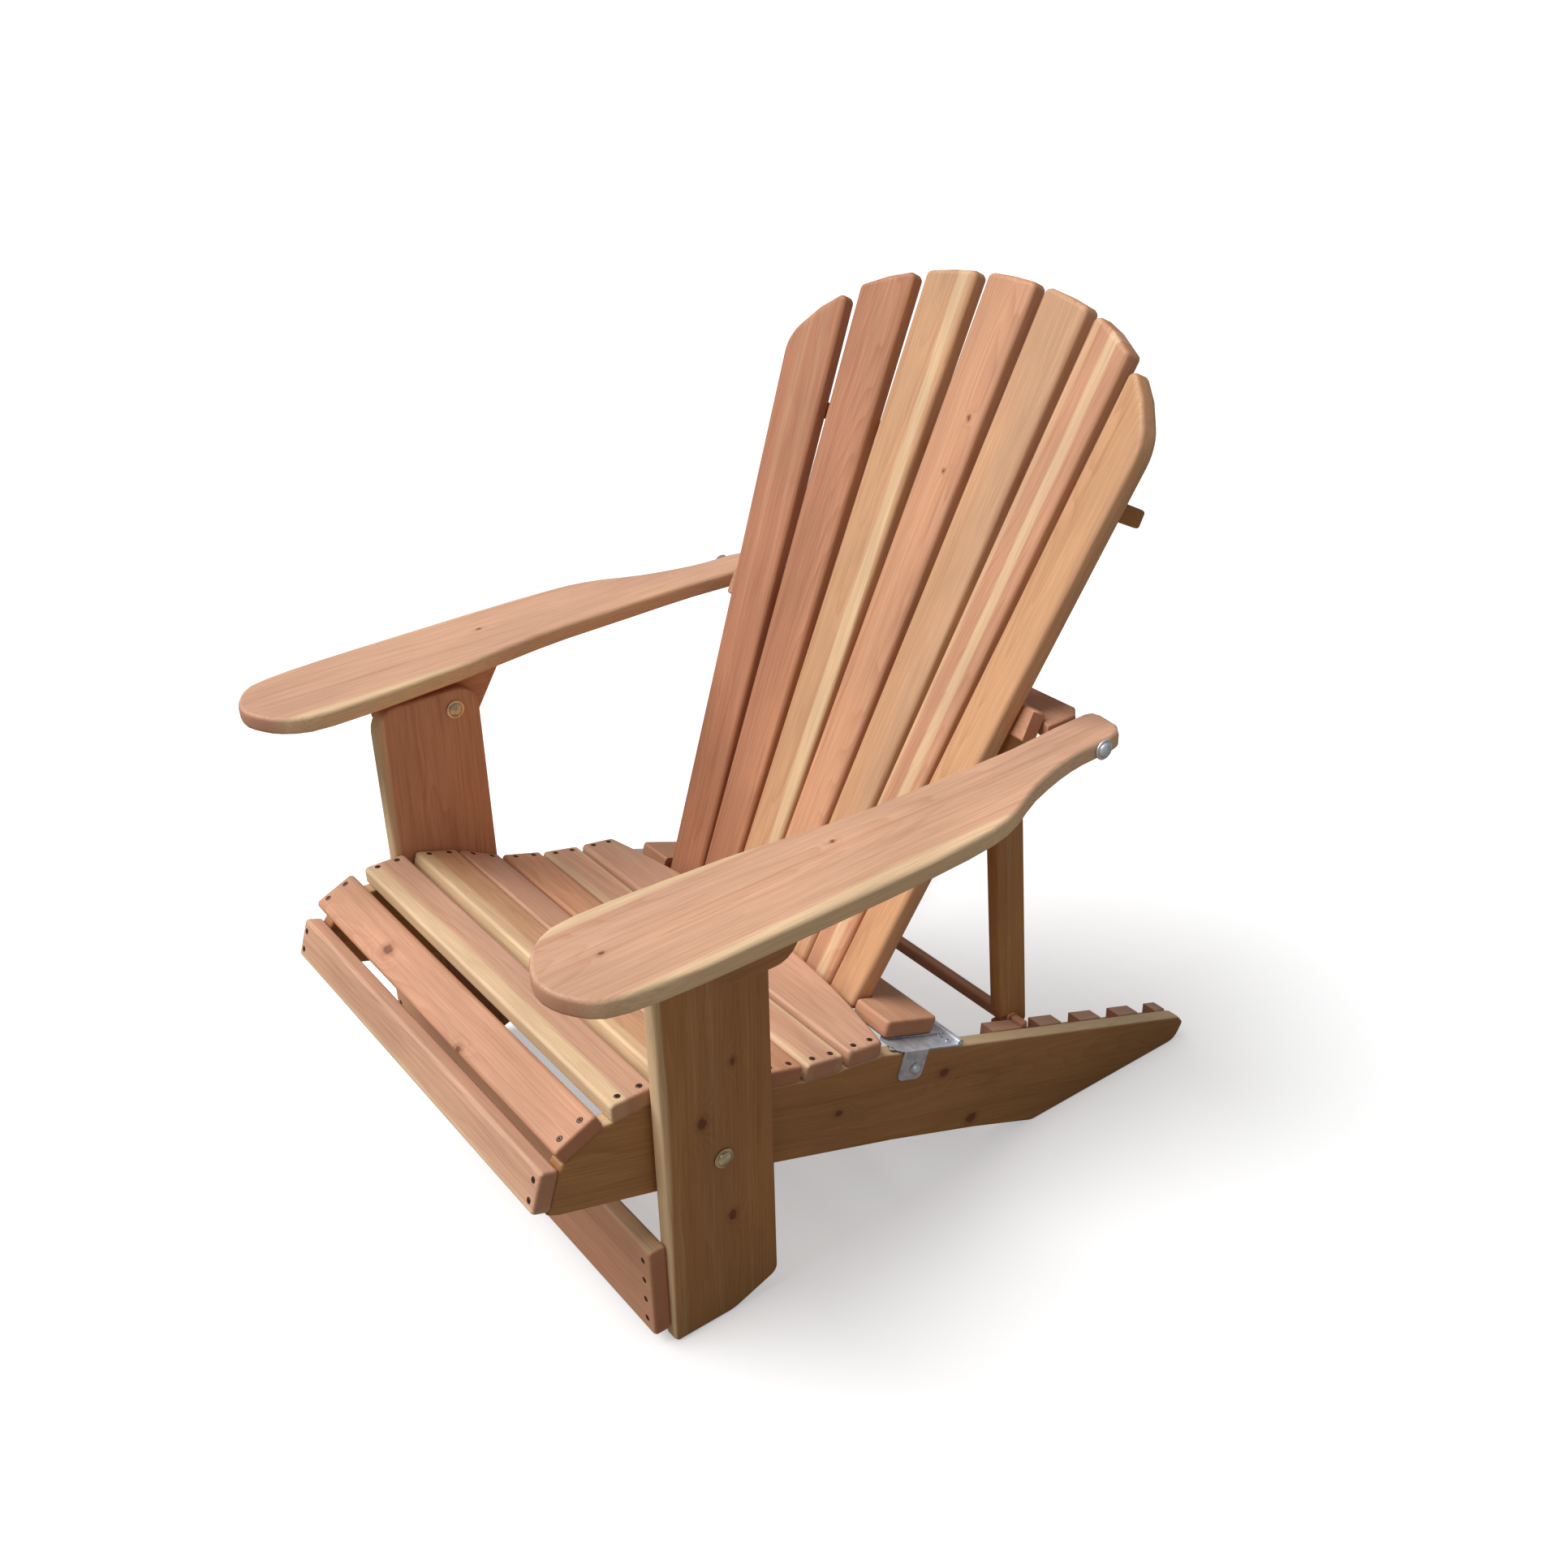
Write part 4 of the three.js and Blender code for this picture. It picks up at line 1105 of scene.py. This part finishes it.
@dataclass
class LegFrame(SubAssembly):
    """Front legs, lower stretcher and pivot bolts.

    Attributes:
        end_inset: stretcher screws in from its ends.
        screw_pitch: height between them.
    """

    body: str = "leg_frame"
    end_inset: float = 13.5 * MM
    screw_pitch: float = 27.9 * MM

    def plan(self) -> None:
        """Choose each board's cedar."""
        edge = Stripe(0.072, 0.006, 0.006, 0.8)
        # The near leg's darker tone is partly its own cedar and partly painted shade for its face turned from
        # the sun.
        knots = (Knot(0.077, -0.0175, 0.0035), Knot(0.015, 0.022, 0.0050), Knot(-0.127, -0.0135, 0.0045))
        # The legs' last pair is the strength of the painted highlight on their long edges.
        self.add_board("leg_left", CedarFinish(CedarTone.UMBER_WITH_SHADE, 12.6, (edge,), knots, (0.85, 0.0)))
        self.add_board("leg_right", CedarFinish(CedarTone.ROSE, 19.2, (edge,), (), (0.85, 0.0)))
        self.add_board("stretcher", CedarFinish(CedarTone.ROSE, 23.5, (), (), (0.0, 0.5)))

    def build(self, frame: dict) -> None:
        """Build the boards, the stretcher's screws and the pivot bolts.
        """
        super().build(frame)
        board = self.boards["stretcher"]
        front = -1.0 if board.turn[2][1] > 0 else 1.0
        screws = ScrewSet("stretcher_screws", self.body, DECK_SCREW, 12)
        for end in (-1, 1):
            for row in (-1.5, -0.5, 0.5, 1.5):
                screws.add(board, end * (board.half.x - self.end_inset), row * self.screw_pitch, front)
        screws.build()
        self.add_bolts("leg_pivot_bolt", HeadSide.OUTER, YELLOW_ZINC)


@dataclass
class ArmFrame(SubAssembly):
    """Paddle arms, the blocks under them and their pivot bolts."""

    body: str = "arm_frame"

    def plan(self) -> None:
        """Choose each board's cedar."""
        near = (Stripe(0.071, 0.006, 0.010, 0.85), Stripe(-0.0705, 0.007, 0.008, 0.9))
        far = (Stripe(-0.0705, 0.007, 0.008, 0.85), Stripe(0.072, 0.004, 0.006, 0.5))
        near_knots = (Knot(-0.026, 0.017, 0.0022), Knot(-0.302, 0.004, 0.0020))
        far_knots = (Knot(-0.048, 0.018, 0.0022), Knot(0.193, 0.042, 0.0020))
        # The arms' last pair is the strength of the painted highlight on their long edges.
        self.add_board("arm_left", CedarFinish(CedarTone.BLUSH, 26.1, near, near_knots, (0.4, 0.55)))
        self.add_board("arm_right", CedarFinish(CedarTone.BLUSH, 31.7, far, far_knots, (0.3, 0.45)))
        # The near block's darker tone is partly its own cedar and partly painted shade for its face turned
        # from the sun.
        self.add_board("arm_block_left", CedarFinish(CedarTone.UMBER_WITH_SHADE, 28.4))
        self.add_board("arm_block_right", CedarFinish(CedarTone.ROSE, 29.3))

    def build(self, frame: dict) -> None:
        """Build the boards and the bolts.
        """
        super().build(frame)
        self.add_bolts("arm_pivot_bolt", HeadSide.INNER, YELLOW_ZINC)


@dataclass
class PropFrame(SubAssembly):
    """Crossbar, struts, prop bar with its end tenons, and the bolts through the arms.

    Attributes:
        tenon_depth: the tenons' size from front to back.
        tenon_height: their height.
        tenon_shift: how far their middle lies behind the bar's.
        tenon_inset: how far their ends stop short of the racks' outer faces.
        tenon_ease: rounding of their edges.
    """

    body: str = "prop_frame"
    tenon_depth: float = 10 * MM
    tenon_height: float = 14 * MM
    tenon_shift: float = 1.5 * MM
    tenon_inset: float = 1.5 * MM
    tenon_ease: float = 2.5 * MM

    def plan(self) -> None:
        """Choose each board's cedar."""
        self.add_board("prop_crossbar", CedarFinish(CedarTone.ROSE, 33.3))
        # The near strut's darker tone is partly its own cedar and partly painted shade for its face turned
        # from the sun.
        self.add_board("prop_strut_left", CedarFinish(CedarTone.UMBER_WITH_SHADE, 34.8))
        self.add_board("prop_strut_right", CedarFinish(CedarTone.ROSE, 36.9))
        self.add_board("prop_bar", CedarFinish(CedarTone.ROSE, 38.2))

    def tenon(self, name: str, side: float) -> None:
        """Build the end of the prop bar that lies in a rack's notch.

        Args:
            name: left or right.
            side: 1 for the left, -1 for the right.
        """
        low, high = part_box("prop_bar")
        rack_low, rack_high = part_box(f"rack_{name}")
        reach = max(abs(rack_low.x), abs(rack_high.x)) - self.tenon_inset
        bar_y, bar_z = (low.y + high.y) / 2, (low.z + high.z) / 2
        middle = Vector((side * (high.x + reach) / 2, bar_y + self.tenon_shift, bar_z))
        size = Vector((reach - high.x, self.tenon_depth, self.tenon_height))
        shape = bmesh.new()
        place = Matrix.Translation(middle) @ Matrix.Diagonal((*size, 1.0))
        bmesh.ops.create_cube(shape, size=1.0, matrix=place)
        ease = self.tenon_ease
        bmesh.ops.bevel(shape, geom=shape.edges, offset=ease, segments=3, profile=0.5, affect="EDGES")
        for face in shape.faces:
            face.smooth = True
        made = new_object(f"prop_bar_tenon_{name}", mesh_from(shape, "tenon"))
        bar = self.boards["prop_bar"]
        made.data.materials.append(bar.finish.material(f"cedar_tenon_{name}", bar.turn, bar.centre))
        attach(made, self.body)

    def build(self, frame: dict) -> None:
        """Build the boards, the tenons and the bolts.
        """
        super().build(frame)
        for name, side in SIDES:
            self.tenon(name, side)
            TurnedBolt(f"prop_pivot_bolt_{name}", self.body, HeadSide.OUTER, ZINC, nut=False).build()


@dataclass
class Backrest(SubAssembly):
    """Seven fanned slats and their three rails."""

    body: str = "backrest"

    def plan(self) -> None:
        """Choose each board's cedar."""
        tones = CedarTone
        faint = Stripe(0.030, 0.003, 0.005, 0.5)
        fan = [
            CedarFinish(tones.RUSSET, 41.5),
            CedarFinish(tones.RUSSET, 44.2),
            CedarFinish(tones.HONEY, 47.9, (Stripe(-0.020, 0.006, 0.005, 0.85),)),
            CedarFinish(tones.ROSE, 52.3, (), (Knot(0.260, -0.0155, 0.0022), Knot(0.193, -0.0075, 0.0018))),
            CedarFinish(tones.TAN, 55.6),
            CedarFinish(tones.ROSE, 58.1, (Stripe(-0.006, 0.007, 0.005, 0.85), faint)),
            CedarFinish(tones.TAN, 61.7),
        ]
        for number, finish in enumerate(fan, 1):
            self.add_board(f"back_slat_{number}", finish)
        # The top rail's darker tone is partly its own cedar and partly painted shade.
        self.add_board("back_rail_top", CedarFinish(tones.UMBER_WITH_SHADE, 64.0))
        self.add_board("back_rail_middle", CedarFinish(tones.ROSE, 66.6))
        self.add_board("back_rail_bottom", CedarFinish(tones.ROSE, 69.4))


@dataclass
class Hinges:
    """Sheet-metal hinges between the stringers and the backrest.

    Attributes:
        edge: rounding of the sheet's edges.
        crease: the angle in degrees past which an edge stays sharp.
        bend: the angle past which an edge is rounded.
        slope: fall of the stringers' tails that the plates lie on.
        lengthen: how far the base plates reach past their frame nodes at the front.
        end_zone: length of the plates' front ends that moves with it.
        bolt_head: radius of the hinge bolts' heads.
        bolt_washer: radius of their washers.
        screw_places: the plate screws' distance from the centre plane and place from front to back.
    """

    edge: float = 0.35 * MM
    crease: float = 30.0
    bend: float = math.radians(50)
    slope: float = math.radians(19.9)
    lengthen: float = 8 * MM
    end_zone: float = 14 * MM
    bolt_head: float = 6.2 * MM
    bolt_washer: float = 7 * MM
    screw_places: tuple[tuple[float, float], ...] = ((0.2805, -0.0215), (0.2646, 0.066), (0.2785, 0.066))

    def sheet(self, node: str, body: str, frame: dict) -> None:
        """Finish one sheet-metal node.

        Args:
            node: the frame node's name.
            body: the body that it moves with.
        """
        made = smooth_copy(node, frame, self.crease)
        if node.startswith("hinge_base"):
            front = min(v.co.y for v in made.data.vertices) + self.end_zone
            for vertex in made.data.vertices:
                if vertex.co.y < front:
                    vertex.co += Vector((0.0, -math.cos(self.slope), math.sin(self.slope))) * self.lengthen
        bevel = made.modifiers.new("broken_edges", "BEVEL")
        bevel.width = self.edge
        bevel.segments = 2
        bevel.limit_method = "ANGLE"
        bevel.angle_limit = self.bend
        made.data.materials.clear()
        made.data.materials.append(ZINC.material())
        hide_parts(node)
        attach(made, body)

    def plate_top(self, box: tuple[Vector, Vector], y: float) -> float:
        """Return the height of a base plate's top face.

        Args:
            box: the plate's lowest and highest corner.
            y: the place from front to back.

        Returns:
            The height.
        """
        return box[1].z - (y - box[0].y) * math.tan(self.slope)

    def build(self, frame: dict) -> None:
        """Build both hinges with their bolts and plate screws.
        """
        screws = ScrewSet("hinge_screws", "seat_frame", PAN_SCREW, 13)
        for name, side in SIDES:
            self.sheet(f"hinge_base_{name}", "seat_frame", frame)
            self.sheet(f"hinge_leaf_{name}", "backrest", frame)
            self.sheet(f"hinge_pin_{name}", "seat_frame", frame)
            bolt = TurnedBolt(f"hinge_bolt_{name}", "seat_frame", HeadSide.OUTER, ZINC)
            bolt.head, bolt.washer = self.bolt_head, self.bolt_washer
            bolt.build()
            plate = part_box(f"hinge_base_{name}")
            up = Vector((0.0, math.sin(self.slope), math.cos(self.slope)))
            for x, y in self.screw_places:
                screws.seats.append((Vector((side * x, y, self.plate_top(plate, y))), up))
        screws.build()
        log.info("hinges: %d screws", len(screws.seats))


# ---------------------------------------------------------------- studio
@dataclass(frozen=True)
class Studio:
    """Pale floor, soft daylight and the camera.

    Attributes:
        azimuth: the camera's bearing in degrees, 0 looking along +Y.
        elevation: its angle above the horizon in degrees.
        roll: its roll in degrees.
        place: where it stands.
        lens: its focal length in millimetres on a 36 mm sensor.
        floor_half: half the floor's width.
        floor_bounce: the floor's colour for light that bounces off it.
        floor_seen: the floor's colour as seen.
        floor_lift: how much the seen floor glows, so that shadows stay pale.
        sun_bearing: the sun's bearing in degrees, like the camera's.
        sun_height: its height above the horizon in degrees.
        sun_strength: its strength.
        sun_spread: its breadth in degrees.
        sky: strength of the even sky.
    """

    azimuth: float = 53.64
    elevation: float = 28.84
    roll: float = -1.287
    place: tuple[float, float, float] = (1.4315, -1.0140, 1.4068)
    lens: float = 38.016
    floor_half: float = 60.0
    floor_bounce: RGB = (0.30, 0.26, 0.22)
    floor_seen: RGB = (0.80, 0.80, 0.80)
    floor_lift: float = 0.40
    sun_bearing: float = -34.0
    sun_height: float = 56.0
    sun_strength: float = 3.3
    sun_spread: float = 50.0
    sky: float = 0.27

    def towards(self, bearing: float, height: float) -> Vector:
        """Return the direction from the chair towards a bearing and height.

        Args:
            bearing: bearing in degrees.
            height: height above the horizon in degrees.

        Returns:
            The direction, one metre long.
        """
        a, e = math.radians(bearing), math.radians(height)
        return Vector((math.sin(a) * math.cos(e), -math.cos(a) * math.cos(e), math.sin(e)))

    def camera(self) -> None:
        """Make the camera and set it as the scene's."""
        data = bpy.data.cameras.new("camera")
        data.lens = self.lens
        data.sensor_width = 36.0
        data.clip_end = 200.0
        made = new_object("camera", data)
        a, r = math.radians(self.azimuth), math.radians(self.roll)
        back = self.towards(self.azimuth, self.elevation)
        level = Vector((math.cos(a), math.sin(a), 0.0))
        above = back.cross(level)
        right = math.cos(r) * level + math.sin(r) * above
        up = -math.sin(r) * level + math.cos(r) * above
        turn = Matrix((right, up, back)).transposed().to_4x4()
        made.matrix_world = Matrix.Translation(self.place) @ turn
        bpy.context.scene.camera = made

    def floor(self) -> None:
        """Make the pale floor."""
        h = self.floor_half
        mesh = bpy.data.meshes.new("floor")
        mesh.from_pydata([(-h, -h, 0), (h, -h, 0), (h, h, 0), (-h, h, 0)], [], [(0, 1, 2, 3)])
        made = new_object("floor", mesh)
        material = bpy.data.materials.new("pale_floor")
        material.use_nodes = True
        shader = material.node_tree.nodes["Principled BSDF"]
        shader.inputs["Roughness"].default_value = 0.9
        shader.inputs["Specular IOR Level"].default_value = 0.1
        g = Graph(material.node_tree)
        path = g.add("ShaderNodeLightPath").outputs["Is Camera Ray"]
        g.feed(shader.inputs["Base Color"], g.blend(path, self.floor_bounce, self.floor_seen))
        g.feed(shader.inputs["Emission Color"], (1.0, 1.0, 1.0, 1.0))
        g.feed(shader.inputs["Emission Strength"], g.times(path, self.floor_lift))
        made.data.materials.append(material)

    def lights(self) -> None:
        """Make the broad sun and the even sky."""
        data = bpy.data.lights.new("sun", "SUN")
        data.energy = self.sun_strength
        data.angle = math.radians(self.sun_spread)
        sun = new_object("sun", data)
        sun.rotation_mode = "QUATERNION"
        sun.rotation_quaternion = self.towards(self.sun_bearing, self.sun_height).to_track_quat("Z", "Y")
        world = bpy.data.worlds.new("sky")
        world.use_nodes = True
        background = world.node_tree.nodes["Background"]
        background.inputs["Color"].default_value = (1.0, 1.0, 1.0, 1.0)
        g = Graph(world.node_tree)
        seen = g.add("ShaderNodeLightPath").outputs["Is Camera Ray"]
        strength = g.plus(self.sky, g.times(seen, 1.0 - self.sky))
        g.feed(background.inputs["Strength"], strength)
        bpy.context.scene.world = world

    def build(self) -> None:
        """Make the whole studio."""
        self.camera()
        self.floor()
        self.lights()
        bpy.context.scene.view_settings.view_transform = "Standard"
        log.info("studio ready")


# ---------------------------------------------------------------- main
def corners(box: tuple[Vector, Vector]) -> list[list[float]]:
    """Return a box's corners as plain lists.

    Args:
        box: lowest and highest corner.

    Returns:
        The two corners.
    """
    return [list(corner) for corner in box]


def main() -> None:
    """Load the frame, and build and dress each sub-assembly."""
    logging.basicConfig(level=logging.INFO, format="%(name)s: %(message)s")
    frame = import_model()
    Studio().build()
    for part in (SeatFrame(), LegFrame(), ArmFrame(), PropFrame(), Backrest()):
        part.build(frame)
        part.dress()
    Hinges().build(frame)


if __name__ == "__main__":
    main()
